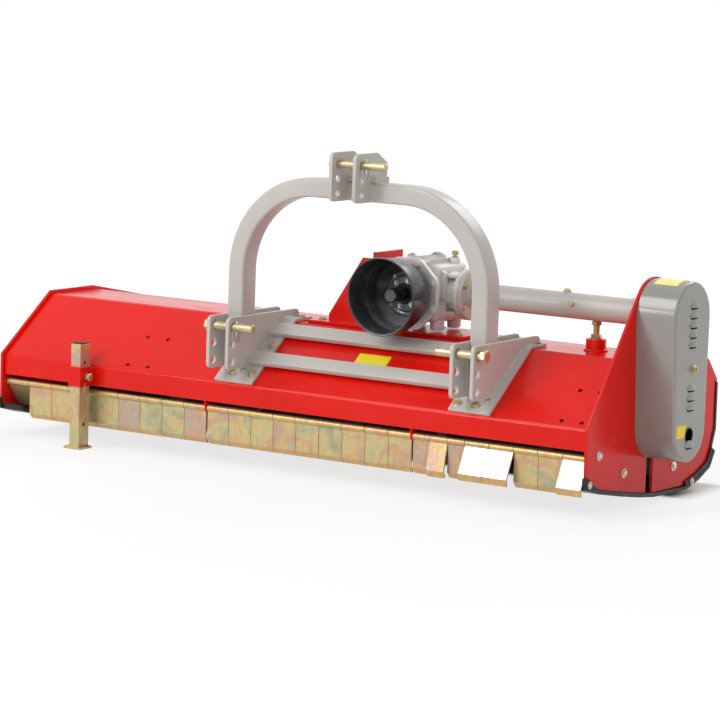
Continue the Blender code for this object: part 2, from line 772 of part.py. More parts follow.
def arch_outline(inset):
    """Front view of the hitch arch, its outer line and back along its inner one."""
    out_x = CLEVIS_HALF + TUBE_WIDE / 2 - inset
    in_x = CLEVIS_HALF - TUBE_WIDE / 2 + inset
    centre_x = CLEVIS_HALF + TUBE_WIDE / 2 - ARCH_BEND_R
    centre_z = ARCH_TOP - ARCH_BEND_R
    outer_r, inner_r = ARCH_BEND_R - inset, ARCH_BEND_R - TUBE_WIDE + inset
    low = FOLD_Z + (0.0 if inset == 0.0 else -0.05)
    points = [(-out_x, low)]
    points += arc((-centre_x, centre_z), outer_r, 180, 90, 12)
    points += arc((centre_x, centre_z), outer_r, 90, 0, 12)
    points += [(out_x, low), (in_x, low)]
    points += arc((centre_x, centre_z), inner_r, 0, 90, 12)
    points += arc((-centre_x, centre_z), inner_r, 90, 180, 12)
    points += [(-in_x, low)]
    return points


def build_arch():
    """A bent box tube, open at its feet, which follow the slope of the brackets."""
    rear = ARCH_Y + TUBE_DEEP
    outer = prism(arch_outline(0.0), ARCH_Y, rear, "Y")
    hollow = prism(arch_outline(TUBE_WALL), ARCH_Y + TUBE_WALL, rear - TUBE_WALL, "Y")
    above = 2 * SEAT_GAP + BASE_THICK
    span = CLEVIS_HALF + TUBE_WIDE
    foot = [on_slope(-0.05, above), on_slope(SLOPE_LONG, above), (SLOPE_RUN, 0.0), (-0.05, 0.0)]
    piece("hitch_arch", "grey", combine(outer, (), [hollow, prism(foot, -span, span)]))


def build_bars():
    """Two flat bars that lie on the bracket plates, between the inner cheeks."""
    low = SEAT_GAP * 2 + BASE_THICK
    reach = CHEEK_IN - SEAT_GAP
    for name, start in (("crossbar_lower", LOWER_BAR_AT), ("crossbar_upper", UPPER_BAR_AT)):
        outline = [
            on_slope(start, low), on_slope(start + BAR_WIDE, low),
            on_slope(start + BAR_WIDE, low + BAR_THICK), on_slope(start, low + BAR_THICK),
        ]
        piece(name, "grey", prism(outline, -reach, reach))


def build_top_link():
    """Two plates that hook over the arch, joined by a saddle on top of it."""
    front, rear = TOP_FRONT, TOP_REAR
    seat, face = ARCH_TOP + SEAT_GAP, ARCH_Y - SEAT_GAP
    low = ARCH_TOP - TUBE_WIDE
    r = TOP_ROUND
    outline = arc((front + r, low + r), r, 180, 270, 4)
    outline += [(face, low), (face, seat), (rear, seat), (rear, TOP_TOP - TOP_CHAMFER_Z)]
    outline += [(rear - TOP_CHAMFER_Y, TOP_TOP)]
    outline += arc((front + r, TOP_TOP - r), r, 90, 180, 4)
    plates = []
    for side in (-1, 1):
        plates.append(prism(outline, *sorted((side * TOP_GAP_HALF, side * (TOP_GAP_HALF + TOP_PLATE)))))
    wide = TOP_GAP_HALF + TOP_PLATE + SADDLE
    saddle = box((-wide, wide), (ARCH_Y, ARCH_Y + TUBE_DEEP), (seat, seat + SADDLE))
    drills = []
    for k in range(3):
        centre = (0.0, TOP_PIN_Y, TOP_PIN_Z - k * TOP_HOLE_PITCH)
        drills.append(drill(centre, TOP_PIN_R, -0.06, 0.06))
    piece("top_link_clevis", "grey", combine(saddle, plates, [join(drills)]))


def hitch_pin(head_at, head, head_r, radius, tip_at, centre, head_sides):
    """A round pin with a head beyond head_at and a tip at tip_at, both along X."""
    way = 1 if head_at > tip_at else -1
    shank = rod(centre, radius, *sorted((tip_at, head_at + way * head / 2)))
    cap = rod(centre, head_r, *sorted((head_at, head_at + way * head)), sides=head_sides)
    return combine(shank, [cap])


def build_pins():
    """The top link pin and the two lower link pins."""
    plate_face = TOP_GAP_HALF + TOP_PLATE
    centre = (0.0, TOP_PIN_Y, TOP_PIN_Z)
    head_at, tip = -plate_face - SEAT_GAP, plate_face + TOP_PIN_TIP
    pin = hitch_pin(head_at, TOP_HEAD, TOP_HEAD_R, TOP_PIN_R, tip, centre, 16)
    piece("top_link_pin", "zinc", pin, centre)
    for name, side, pulled in (("lower_pin_left", -1, 0.0), ("lower_pin_right", 1, RIGHT_PIN_OUT)):
        centre = (0.0, LOWER_PIN_Y, LOWER_PIN_Z)
        head_at = side * (CHEEK_OUT + SEAT_GAP + pulled)
        tip_at = side * (CHEEK_IN - LOWER_PIN_TIP + pulled)
        pin = hitch_pin(head_at, LOWER_HEAD, LOWER_HEAD_R, LOWER_PIN_R, tip_at, centre, 6)
        piece(name, "zinc", pin, (side * CLEVIS_HALF, LOWER_PIN_Y, LOWER_PIN_Z))


# Gearbox, guard and stand

def build_gearbox():
    """Cast housing with its input flange, output flange and side flange."""
    cx, cy, cz = BOX_X, DRIVE_Y, DRIVE_Z
    e = BOX_EDGE
    a, b = BOX_HALF, BOX_TALL_HALF
    outline = [
        (cx - a + e, cz - b), (cx + a - e, cz - b), (cx + a, cz - b + e), (cx + a, cz + b - e),
        (cx + a - e, cz + b), (cx - a + e, cz + b), (cx - a, cz + b - e), (cx - a, cz - b + e),
    ]
    body = prism(outline, cy - BOX_DEEP_HALF, cy + BOX_DEEP_HALF, "Y")
    centre = (cx, cy, cz)
    grow = 0.004
    neck_r = INPUT_R - 0.018
    front, flange_back = -INPUT_REACH, -INPUT_REACH + INPUT_THICK
    input_profile = [
        (front - INPUT_HUB, 0.0), (front - INPUT_HUB, INPUT_HUB_R), (front, INPUT_HUB_R), (front, INPUT_R),
        (flange_back, INPUT_R), (flange_back, neck_r), (-BOX_DEEP_HALF + grow, neck_r),
        (-BOX_DEEP_HALF + grow, 0.0),
    ]
    adds = [turned(input_profile, centre, "Y", FINE)]
    for way, reach in ((1, OUTPUT_REACH), (-1, SIDE_REACH - SEAT_GAP)):
        face, back = way * reach, way * (reach - OUTPUT_THICK)
        inside = way * (BOX_HALF - grow)
        profile = [
            (inside, 0.0), (inside, OUTPUT_NECK_R), (back, OUTPUT_NECK_R),
            (back, OUTPUT_R), (face, OUTPUT_R), (face, 0.0),
        ]
        adds.append(turned(profile, centre, "X", FINE))
    for x in (-0.052, 0.052):
        foot_at = (cx + x, cy - BOX_DEEP_HALF / 2, cz - b)
        adds.append(rod(foot_at, BOX_FOOT_R, -BOX_FOOT / 2, BOX_FOOT / 2, "Z", 8))
    inner = BOX_HALF - BOX_WALL
    cavity = box(
        (cx - inner, cx + inner),
        (cy - BOX_DEEP_HALF + BOX_WALL, cy + BOX_DEEP_HALF - BOX_WALL),
        (cz - inner, cz + inner),
    )
    bores = [
        cavity,
        drill(centre, SHAFT_R, -INPUT_REACH - 0.05, 0.0, "Y", FINE),
        drill(centre, SHAFT_R, 0.0, OUTPUT_REACH + 0.05, "X", FINE),
    ]
    piece("gearbox_housing", "cast", combine(body, adds, bores))


def build_guard():
    """The cup round the input shaft, open to the front, bolted by its bottom flange."""
    back = -INPUT_REACH - SEAT_GAP
    hole = INPUT_HUB_R + 0.001
    w = GUARD_WALL
    neck = GUARD_BACK_R - 0.022
    front = back - GUARD_LONG
    lip = back - GUARD_LONG * 0.45
    profile = [
        (back, hole), (back, neck), (back - 0.020, GUARD_BACK_R), (lip, GUARD_RIM_R - 0.006),
        (front, GUARD_RIM_R), (front, GUARD_RIM_R - w), (lip, GUARD_RIM_R - 0.006 - w),
        (back - 0.020, GUARD_BACK_R - w), (back - w, neck - w), (back - w, hole),
    ]
    centre = (BOX_X, DRIVE_Y, DRIVE_Z)
    piece("pto_guard", "black_plastic", turned(profile, centre, "Y", FINE))


def build_gearbox_stand():
    """Base plate on the deck, the side plate the gearbox bolts to, and a gusset."""
    low = TOP_Z + SEAT_GAP
    top = low + STAND_BASE_THICK
    sink = top - STAND_BASE_THICK / 2
    base = box((STAND_BASE_LEFT, STAND_BASE_RIGHT), (STAND_BASE_FRONT, STAND_BASE_REAR), (low, top))
    side = box((STAND_FACE - SIDE_PLATE, STAND_FACE), (SIDE_FRONT, SIDE_REAR), (sink, SIDE_TOP))
    inner = STAND_FACE - SIDE_PLATE / 2
    outer = STAND_FACE - SIDE_PLATE
    outline = [
        (inner, sink), (inner, GUSSET_TOP), (outer - GUSSET_TOP_WIDE, GUSSET_TOP),
        (outer - GUSSET_WIDE, top + GUSSET_TOE), (outer - GUSSET_WIDE, sink),
    ]
    gusset = prism(outline, GUSSET_Y, GUSSET_Y + SIDE_PLATE, "Y")
    piece("gearbox_stand", "red", combine(base, [side, gusset]))


# Shafts, tube, belt and rotor

def build_input_shaft():
    """Splined input shaft with the large bevel gear, turning about Y."""
    centre = (BOX_X, DRIVE_Y, DRIVE_Z)
    tip = -INPUT_REACH - SPLINE_REACH
    neck = -INPUT_REACH - 0.014
    back = -PINION_R - GEAR_BACK
    small = 1 - GEAR_FACE / GEAR_R
    profile = [
        (tip, 0.0), (tip, SPLINE_R - 0.002), (tip + 0.002, SPLINE_R), (neck, SPLINE_R),
        (neck, SHAFT_R), (back, SHAFT_R), (back, GEAR_R * small), (-PINION_R, GEAR_R),
        (-PINION_R * small, GEAR_R * small), (-PINION_R * small, 0.0),
    ]
    shaft = turned(profile, centre, "Y", 24)
    groove_r = 0.0025
    grooves = []
    for k in range(6):
        angle = math.radians(60 * k + 30)
        spot = (centre[0] + SPLINE_R * math.cos(angle), centre[1], centre[2] + SPLINE_R * math.sin(angle))
        grooves.append(rod(spot, groove_r, tip - 0.01, neck - 0.012, "Y", 8))
    piece("input_shaft", "steel", combine(shaft, (), [join(grooves)]), centre)


def pulley_profile(radius):
    """Rim of a belt pulley, from its inner face to its outer face."""
    lip = (PULLEY_WIDE - BELT_WIDE) / 2 - SEAT_GAP
    start, end = PULLEY_X, PULLEY_X + PULLEY_WIDE
    return [
        (start, radius + PULLEY_LIP), (start + lip, radius + PULLEY_LIP), (start + lip, radius),
        (end - lip, radius), (end - lip, radius + PULLEY_LIP), (end, radius + PULLEY_LIP),
    ]


def build_drive_shaft():
    """Cross shaft with the bevel pinion and the upper pulley, turning about X."""
    start, finish_x = BOX_X + GEAR_R - GEAR_FACE, BOX_X + GEAR_R
    small = 1 - GEAR_FACE / GEAR_R
    end = PULLEY_X + PULLEY_WIDE + 0.004
    profile = [
        (start, 0.0), (start, PINION_R * small - MESH_GAP), (finish_x, PINION_R - MESH_GAP),
        (finish_x, SHAFT_R),
    ]
    profile += [(PULLEY_X, SHAFT_R)] + pulley_profile(DRIVE_PULLEY_R)
    profile += [(PULLEY_X + PULLEY_WIDE, SHAFT_R), (end, SHAFT_R), (end, 0.0)]
    centre = (0.0, DRIVE_Y, DRIVE_Z)
    piece("drive_shaft", "steel", turned(profile, centre, "X", FINE), (BOX_X, DRIVE_Y, DRIVE_Z))


def build_drive_tube():
    """Tube round the cross shaft, flanged to the gearbox, sleeved at the end plate."""
    start, end = TUBE_START, DECK_RIGHT - SEAT_GAP
    inner = TUBE_R - TUBE_SKIN
    profile = [
        (start, inner), (start, OUTPUT_R), (start + TUBE_FLANGE, OUTPUT_R), (start + TUBE_FLANGE, TUBE_R),
        (end - SLEEVE_LONG, TUBE_R), (end - SLEEVE_LONG, SLEEVE_R), (end, SLEEVE_R), (end, inner),
    ]
    centre = (0.0, DRIVE_Y, DRIVE_Z)
    piece("drive_tube", "grey", turned(profile, centre, "X", TUBE_SIDES))


def build_jack():
    """Screw with two nuts that holds up the drive tube from its boss."""
    top = DRIVE_Z - TUBE_R * math.cos(math.pi / TUBE_SIDES) - SEAT_GAP
    centre = (JACK_X, DRIVE_Y, 0.0)
    seat = TOP_Z + JACK_BOSS + SEAT_GAP
    bolt = rod(centre, JACK_BOLT_R, seat, top, "Z", 12)
    nuts = [
        rod(centre, JACK_NUT_R, seat, seat + JACK_NUT, "Z", 6),
        rod(centre, JACK_NUT_R, top - JACK_NUT, top, "Z", 6),
    ]
    piece("jack_screw", "zinc", combine(bolt, nuts), (JACK_X, DRIVE_Y, seat))


def belt_outline(grow):
    """Loop round both pulleys, at the pulley surface moved out by grow."""
    top, low = Vector((DRIVE_Y, DRIVE_Z)), Vector((ROTOR_Y, ROTOR_Z))
    between = top - low
    lean = math.degrees(math.atan2(between.y, between.x))
    swell = math.degrees(math.asin((DRIVE_PULLEY_R - ROTOR_PULLEY_R) / between.length))
    points = arc(top, DRIVE_PULLEY_R + grow, lean - 90 - swell, lean + 90 + swell, 16)
    points += arc(low, ROTOR_PULLEY_R + grow, lean + 90 + swell, lean + 270 - swell, 16)
    return points


def build_belt():
    """The joined V-belt in its loop round both pulleys."""
    slack = 0.0005
    outer = prism(belt_outline(BELT_THICK), BELT_X, BELT_X + BELT_WIDE)
    inner = prism(belt_outline(slack), BELT_X - 0.01, BELT_X + BELT_WIDE + 0.01)
    piece("drive_belt", "rubber", combine(outer, (), [inner]))


def build_cover():
    """Folded cup over the belt, with cooling slots, a spy hole and its bolt head."""
    start, end = RIGHT_OUT + SEAT_GAP, COVER_FACE
    outer = prism(cover_outline(), start, end)
    inner = prism(cover_outline(-COVER_WALL), start - 0.01, end - COVER_WALL)
    slots = []
    heights = [LOUVER_TOP_Z - k * LOUVER_PITCH for k in range(5)]
    heights += [LOUVER_LOW_Z - k * LOUVER_PITCH for k in range(3)]
    heights += [LOUVER_LAST_Z]
    middle = (DRIVE_Y + ROTOR_Y) / 2
    for z in heights:
        span = (middle - LOUVER_LONG / 2, middle + LOUVER_LONG / 2)
        slots.append(box((end - 0.01, end + 0.01), span, (z - LOUVER_HIGH / 2, z + LOUVER_HIGH / 2)))
    spy = rod((end, *SPY_HOLE), SPY_HOLE_R, -0.01, 0.01, sides=20)
    bolt_at = (end, ROTOR_Y - 0.001, COVER_STUD_Z)
    bolt = rod(bolt_at, COVER_BOLT_R, -COVER_WALL / 2, COVER_BOLT, sides=6)
    cover = combine(outer, [bolt], [inner, join(slots + [spy])])
    piece("belt_cover", "cover_grey", cover)


def bearing(name, x, way, y, z):
    """A flange bearing on a plate face, its hub turned away from the plate."""
    bore = (SHAFT_R + BORE_GAP) / math.cos(math.pi / 24)
    face, back, hub = x + way * SEAT_GAP, x + way * BEARING_THICK, x + way * (BEARING_THICK + BEARING_HUB)
    profile = [(face, bore), (face, BEARING_R), (back, BEARING_R)]
    profile += [(back, BEARING_HUB_R), (hub, BEARING_HUB_R), (hub, bore)]
    piece(name, "cast", turned(profile, (0.0, y, z), "X", 24))


def build_bearings():
    """Drive bearing inside the cover and a rotor bearing on each end plate."""
    bearing("drive_bearing", RIGHT_OUT, 1, DRIVE_Y, DRIVE_Z)
    bearing("rotor_bearing_right", RIGHT_OUT, 1, ROTOR_Y, ROTOR_Z)
    bearing("rotor_bearing_left", LEFT_OUT, -1, ROTOR_Y, ROTOR_Z)


def hollow_cutters(start, end, radius, y, z):
    """Cutters that hollow a roller round its solid axle, and vent it at one end."""
    disc, axle = 0.010, SHAFT_R + 0.004
    profile = [(start + disc, axle), (start + disc, radius), (end - disc, radius), (end - disc, axle)]
    space = turned(profile, (0.0, y, z), "X", 24)
    vent = rod((0.0, y, z + (radius + axle) / 2), 0.006, start - 0.01, start + disc + 0.01, "X", 8)
    return [space, vent]


def build_rotor():
    """Rotor tube with its stub shafts, lower pulley, lugs and hammers."""
    start, end = DECK_LEFT + ROTOR_END_GAP, DECK_RIGHT - ROTOR_END_GAP
    left_tip = LEFT_OUT - BEARING_THICK - BEARING_HUB - 0.002
    right_tip = PULLEY_X + PULLEY_WIDE + 0.004
    profile = [(left_tip, 0.0), (left_tip, SHAFT_R), (start, SHAFT_R)]
    profile += [(start, ROTOR_R), (end, ROTOR_R), (end, SHAFT_R)]
    profile += [(PULLEY_X, SHAFT_R)] + pulley_profile(ROTOR_PULLEY_R)
    profile += [(PULLEY_X + PULLEY_WIDE, SHAFT_R), (right_tip, SHAFT_R), (right_tip, 0.0)]
    core = turned(profile, (0.0, ROTOR_Y, ROTOR_Z), "X", 24)
    half = HAMMER_THICK / 2
    pitch = (end - start) / HAMMER_COUNT
    hammers = []
    lugs = []
    for k in range(HAMMER_COUNT):
        x = start + (k + 0.5) * pitch
        turn = Matrix.Rotation(math.radians(HAMMER_TURN * k), 4, "X")
        turn = Matrix.Translation((0.0, ROTOR_Y, ROTOR_Z)) @ turn
        lug_sides = (x - LUG_WIDE / 2, x + LUG_WIDE / 2)
        lug = box(lug_sides, (-2.4 * half, 2.4 * half), (ROTOR_R - ROTOR_WALL / 2, LUG_R))
        edge = [
            (-half, LUG_R - 0.012), (half, LUG_R - 0.012), (half, HAMMER_TIP_R - 0.010),
            (half * 2.4, HAMMER_TIP_R), (-half, HAMMER_TIP_R),
        ]
        hammer = prism(edge, x - HAMMER_WIDE / 2, x + HAMMER_WIDE / 2)
        for shape in (lug, hammer):
            shape.data.transform(turn)
        lugs.append(lug)
        hammers.append(hammer)
    hollows = hollow_cutters(start, end, ROTOR_R - ROTOR_WALL, ROTOR_Y, ROTOR_Z)
    rotor = combine(core, [join(lugs), join(hammers)], hollows)
    middle = (start + end) / 2
    piece("rotor", "black_paint", rotor, (middle, ROTOR_Y, ROTOR_Z))


def build_roller():
    """Rear support roller and the two arms that carry it on the end plates."""
    arm_left = (DECK_LEFT + SEAT_GAP, DECK_LEFT + SEAT_GAP + ARM_THICK)
    arm_right = (DECK_RIGHT - SEAT_GAP - ARM_THICK, DECK_RIGHT - SEAT_GAP)
    start, end = arm_left[1] + ROLLER_END_GAP, arm_right[0] - ROLLER_END_GAP
    axle = SHAFT_R
    profile = [
        (arm_left[0] + 0.001, 0.0), (arm_left[0] + 0.001, axle), (start, axle), (start, ROLLER_R),
        (end, ROLLER_R), (end, axle), (arm_right[1] - 0.001, axle), (arm_right[1] - 0.001, 0.0),
    ]
    body = turned(profile, (0.0, ROLLER_Y, ROLLER_Z), "X", 24)
    roller = combine(body, (), hollow_cutters(start, end, ROLLER_R - ROLLER_WALL, ROLLER_Y, ROLLER_Z))
    piece("rear_roller", "black_paint", roller, ((start + end) / 2, ROLLER_Y, ROLLER_Z))
    half = ARM_WIDE / 2
    for name, span in (("roller_arm_left", arm_left), ("roller_arm_right", arm_right)):
        outline = arc((ROLLER_Y, ROLLER_Z), half, 180, 360, 10)
        outline += [(ROLLER_Y + half, ARM_TOP), (ROLLER_Y - half, ARM_TOP)]
        bore = drill((0.0, ROLLER_Y, ROLLER_Z), axle, span[0] - 0.01, span[1] + 0.01, sides=24)
        piece(name, "red", combine(prism(outline, *span), (), [bore]))


def build_brackets():
    """The left and right lower hitch brackets."""
    piece("hitch_bracket_left", "grey", bracket(-1))
    piece("hitch_bracket_right", "grey", bracket(1))


def centre_machine():
    """Move the machine so that the middle of its footprint is the origin."""
    bpy.context.view_layer.update()
    corners = []
    for obj in bpy.data.objects:
        if obj.type == "MESH":
            corners += [obj.matrix_world @ vertex.co for vertex in obj.data.vertices]
    middle = [(min(c[i] for c in corners) + max(c[i] for c in corners)) / 2 for i in (0, 1)]
    floor = min(c[2] for c in corners)
    bpy.data.objects["machine"].location = (-middle[0], -middle[1], -floor)
    bpy.context.view_layer.update()


def main():
    """Build every sub-part in an empty scene."""
    for obj in list(bpy.data.objects):
        bpy.data.objects.remove(obj)
    machine = bpy.data.objects.new("machine", None)
    bpy.context.scene.collection.objects.link(machine)
    build_deck()
    build_end_plates()
    build_skids()
    build_rod()
    build_flaps()
    build_stand()
    build_brackets()
    build_arch()
    build_bars()
    build_top_link()
    build_pins()
    build_gearbox()
    build_guard()
    build_gearbox_stand()
    build_input_shaft()
    build_drive_shaft()
    build_drive_tube()
    build_jack()
    build_belt()
    build_cover()
    build_bearings()
    build_rotor()
    build_roller()
    centre_machine()


main()
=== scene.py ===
"""Looks of a three-point flail mulcher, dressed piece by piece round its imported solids.

Lengths are in metres.  They are laid out from the hitch centre plane (X = 0), the
front face of the deck (Y = 0) and the floor (Z = 0), and every finished mesh is then
moved by SHIFT, so that the middle of the footprint is the origin, as in the solids.
+X runs along the deck to the belt cover and -Y points at the tractor.
"""

import logging
import math
from dataclasses import dataclass
from enum import Enum
from typing import Callable, Sequence

import bmesh
import bpy
import numpy as np
from mathutils import Matrix, Vector


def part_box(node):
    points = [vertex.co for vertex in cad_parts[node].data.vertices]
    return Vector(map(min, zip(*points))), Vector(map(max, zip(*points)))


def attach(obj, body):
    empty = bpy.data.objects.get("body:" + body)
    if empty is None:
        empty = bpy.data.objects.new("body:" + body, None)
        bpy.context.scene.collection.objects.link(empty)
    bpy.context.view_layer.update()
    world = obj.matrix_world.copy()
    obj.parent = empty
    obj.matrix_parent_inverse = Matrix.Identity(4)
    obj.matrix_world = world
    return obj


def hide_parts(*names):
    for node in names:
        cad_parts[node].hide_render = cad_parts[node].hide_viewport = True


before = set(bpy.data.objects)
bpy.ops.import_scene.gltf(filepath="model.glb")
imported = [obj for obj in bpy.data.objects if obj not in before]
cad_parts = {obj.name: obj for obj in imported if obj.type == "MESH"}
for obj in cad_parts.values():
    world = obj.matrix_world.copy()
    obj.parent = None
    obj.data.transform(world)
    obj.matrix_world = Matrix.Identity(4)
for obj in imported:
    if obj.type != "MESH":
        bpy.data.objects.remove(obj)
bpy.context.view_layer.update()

LOG = logging.getLogger("mulcher")
DECK_CORNER = (-1.0977, 0.0)    # left front corner of the deck sheet, as laid out
SHIFT = np.append(np.array(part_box("deck_shell")[0])[:2] - DECK_CORNER, 0.0)
SEAT = 0.0003              # gap between pieces that touch
FIXED = "frame"            # the body that does not move
CREASE = math.radians(34)  # edges that bend more than this are sharp
FILM = (0.0001, 0.0005)    # how far the two sides of a stuck-on patch stand off
DECK_TOP = 0.365
SHAFT_Y, SHAFT_Z = 0.292, 0.470    # axis of the cross shaft
GEAR_CENTRE = (0.049, SHAFT_Y, SHAFT_Z)
X_AXIS, Y_AXIS, Z_AXIS = (1.0, 0.0, 0.0), (0.0, 1.0, 0.0), (0.0, 0.0, 1.0)

Colour = tuple[float, float, float]
Triple = Sequence[float]
Spot = tuple[float, float, float]
Pairs = tuple[tuple[float, float], ...]


def srgb(red: int, green: int, blue: int) -> Colour:
    """Turn display values from 0 to 255 into the linear values a shader takes."""
    parts = [value / 255.0 for value in (red, green, blue)]
    return tuple(p / 12.92 if p <= 0.04045 else ((p + 0.055) / 1.055) ** 2.4 for p in parts)


def shade(colour: Colour, factor: float) -> Colour:
    """Darken or lighten a colour by a factor, kept below 1."""
    return tuple(min(value * factor, 1.0) for value in colour)


class Slot(Enum):
    """Material slots of the record."""

    RED = "red_paint"
    GREY = "grey_paint"
    COVER = "cover_paint"
    BLACK = "black_paint"
    ZINC = "zinc_plate"
    CAST = "cast_metal"
    STEEL = "bare_steel"
    PLASTIC = "black_plastic"
    RUBBER = "belt_rubber"


# Shader graphs

class Wire:
    """A shader socket on which Python's operators add Math nodes."""

    def __init__(self, graph: "Graph", socket: bpy.types.NodeSocket) -> None:
        """Keep the graph and one of its output sockets."""
        self.graph = graph
        self.socket = socket

    def math(self, operation: str, *others: "Wire | float", flip: bool = False) -> "Wire":
        """Add one Math node.

        Args:
            operation: Blender's name for the operation.
            others: the other operands, wires or numbers.
            flip: put this wire last instead of first.

        Returns:
            The node's result.
        """
        values = (*others, self) if flip else (self, *others)
        return self.graph.node("ShaderNodeMath", {"operation": operation}, dict(enumerate(values)))

    def __add__(self, other: "Wire | float") -> "Wire":
        """Sum."""
        return self.math("ADD", other)

    def __sub__(self, other: "Wire | float") -> "Wire":
        """Difference."""
        return self.math("SUBTRACT", other)

    def __rsub__(self, other: float) -> "Wire":
        """Difference from a number."""
        return self.math("SUBTRACT", other, flip=True)

    def __mul__(self, other: "Wire | float") -> "Wire":
        """Product."""
        return self.math("MULTIPLY", other)

    __radd__ = __add__
    __rmul__ = __mul__

    def step(self, low: float, high: float) -> "Wire":
        """Rise smoothly from 0 at low to 1 at high; low may be the larger."""
        sockets = {"Value": self, "From Min": low, "From Max": high}
        return self.graph.node("ShaderNodeMapRange", {"interpolation_type": "SMOOTHSTEP"}, sockets)


class Graph:
    """The node graph of one material, or of the world."""

    def __init__(self, owner: bpy.types.Material | bpy.types.World) -> None:
        """Start its graph empty."""
        self.owner = owner
        self.owner.use_nodes = True
        self.tree = owner.node_tree
        self.tree.nodes.clear()

    def node(
        self, kind: str, settings: dict | None = None, sockets: dict | None = None, out: int = 0,
    ) -> Wire:
        """Add a node.

        Args:
            kind: Blender's node type.
            settings: properties, set first; "stops" fills a colour ramp.
            sockets: input values or wires, by name or number.
            out: number of the output to return.

        Returns:
            The chosen output.
        """
        made = self.tree.nodes.new(kind)
        for name, value in (settings or {}).items():
            if name == "stops":
                self._fill_ramp(made.color_ramp, value)
            else:
                setattr(made, name, value)
        for key, value in (sockets or {}).items():
            if isinstance(value, Wire):
                self.tree.links.new(value.socket, made.inputs[key])
            else:
                made.inputs[key].default_value = value
        return Wire(self, made.outputs[out])

    @staticmethod
    def _fill_ramp(ramp: bpy.types.ColorRamp, stops: Sequence[tuple[float, Colour]]) -> None:
        """Give a colour ramp its stops."""
        while len(ramp.elements) < len(stops):
            ramp.elements.new(1.0)
        for element, (place, colour) in zip(ramp.elements, stops):
            element.position = place
            element.color = (*colour, 1.0)

    def place(self, stretch: Triple = (1.0, 1.0, 1.0)) -> Wire:
        """Object coordinates, stretched along each axis."""
        where = self.node("ShaderNodeTexCoord", out=3)
        if tuple(stretch) == (1.0, 1.0, 1.0):
            return where
        return self.node("ShaderNodeMapping", None, {"Vector": where, "Scale": tuple(stretch)})

    def noise(self, where: Wire, scale: float, detail: float = 2.0, warp: float = 0.0) -> Wire:
        """Noise from 0 to 1, with so many features to the metre."""
        sockets = {"Vector": where, "Scale": scale, "Detail": detail, "Distortion": warp}
        return self.node("ShaderNodeTexNoise", None, sockets)

    def mark(self, name: str) -> Wire:
        """The number that the mesh holds under this name."""
        return self.node("ShaderNodeAttribute", {"attribute_name": name}, out=2)

    def mix(self, factor: "Wire | float", first: "Wire | Colour", second: "Wire | Colour") -> Wire:
        """Mix two colours."""
        pair = [value if isinstance(value, Wire) else (*value, 1.0) for value in (first, second)]
        sockets = {0: factor, 6: pair[0], 7: pair[1]}
        return self.node("ShaderNodeMix", {"data_type": "RGBA"}, sockets, out=2)

    def relief(self, *layers: tuple[Wire, float, float]) -> Wire:
        """Bumps laid on each other: the height, depth in metres and strength of each."""
        under: dict = {}
        for height, depth, strength in layers:
            sockets = {"Height": height, "Distance": depth, "Strength": strength, **under}
            under = {"Normal": self.node("ShaderNodeBump", None, sockets)}
        return under["Normal"]

    def seen_or_glossy(self) -> Wire:
        """1 for what the camera sees directly or in a shiny surface, 0 for other light."""
        camera, glossy = (self.node("ShaderNodeLightPath", out=number) for number in (0, 3))
        return camera.math("MAXIMUM", glossy)

    def close(self, surface: Wire) -> bpy.types.Material | bpy.types.World:
        """Join the surface to the output."""
        kind = "Material" if isinstance(self.owner, bpy.types.Material) else "World"
        output = self.tree.nodes.new(f"ShaderNodeOutput{kind}")
        self.tree.links.new(surface.socket, output.inputs["Surface"])
        return self.owner

    def principled(self, **sockets: "Wire | float | Colour") -> bpy.types.Material:
        """Close with a Principled shader; Base_Color stands for Base Color."""
        named = {}
        for key, value in sockets.items():
            named[key.replace("_", " ")] = (*value, 1.0) if isinstance(value, tuple) else value
        return self.close(self.node("ShaderNodeBsdfPrincipled", None, named))


# Finishes

@dataclass(frozen=True)
class Finish:
    """A finish that makes its own material the first time it is asked for."""

    name: str
    slot: Slot

    def material(self) -> bpy.types.Material:
        """The material, made once."""
        made = bpy.data.materials.get(self.name)
        return made or self.make(Graph(bpy.data.materials.new(self.name)))

    def make(self, graph: Graph) -> bpy.types.Material:
        """Build the shader; each kind of finish has its own."""
        raise NotImplementedError


@dataclass(frozen=True)
class Enamel(Finish):
    """Sprayed paint: a drifting colour, orange peel, faint rub marks, a little grime low down, and
    painted shade that darkens it towards the bottom.
    """

    colour: Colour
    gloss: float = 0.22
    peel: float = 0.00006
    shine: float = 0.2
    dust_and_sheen: float = 0.05

    def make(self, graph: Graph) -> bpy.types.Material:
        """Build the shader."""
        where = graph.place()
        drift = graph.noise(where, 2.6, 3.0).step(0.30, 0.70)
        fine = graph.noise(where, 240.0, 2.0)
        rub = graph.noise(graph.place((3.0, 30.0, 30.0)), 3.0, 6.0, 0.4).step(0.60, 0.75)
        grime = graph.noise(where, 14.0, 6.0).step(0.48, 0.80)
        low = graph.node("ShaderNodeSeparateXYZ", None, {0: where}, out=2).step(0.30, 0.0)
        paint = graph.mix(drift, shade(self.colour, 0.93), shade(self.colour, 1.06))
        # Painted shade: the colour darkens towards the bottom, where less light falls.
        paint = graph.mix(low * low * 0.30, paint, shade(self.colour, 0.5))
        paint = graph.mix(grime * (low * 0.7 + 0.3) * self.dust_and_sheen, paint, srgb(168, 156, 140))
        rough = drift * 0.06 + rub * 0.04 + grime * 0.08 + (self.gloss - 0.04)
        wave = graph.noise(where, 9.0)
        normal = graph.relief((wave, self.peel * 6.0, 0.35), (fine, self.peel, 0.6))
        return graph.principled(
            Base_Color=paint, Roughness=rough, Normal=normal, Specular_IOR_Level=self.shine,
            Coat_Weight=0.04, Coat_Roughness=0.08,
        )


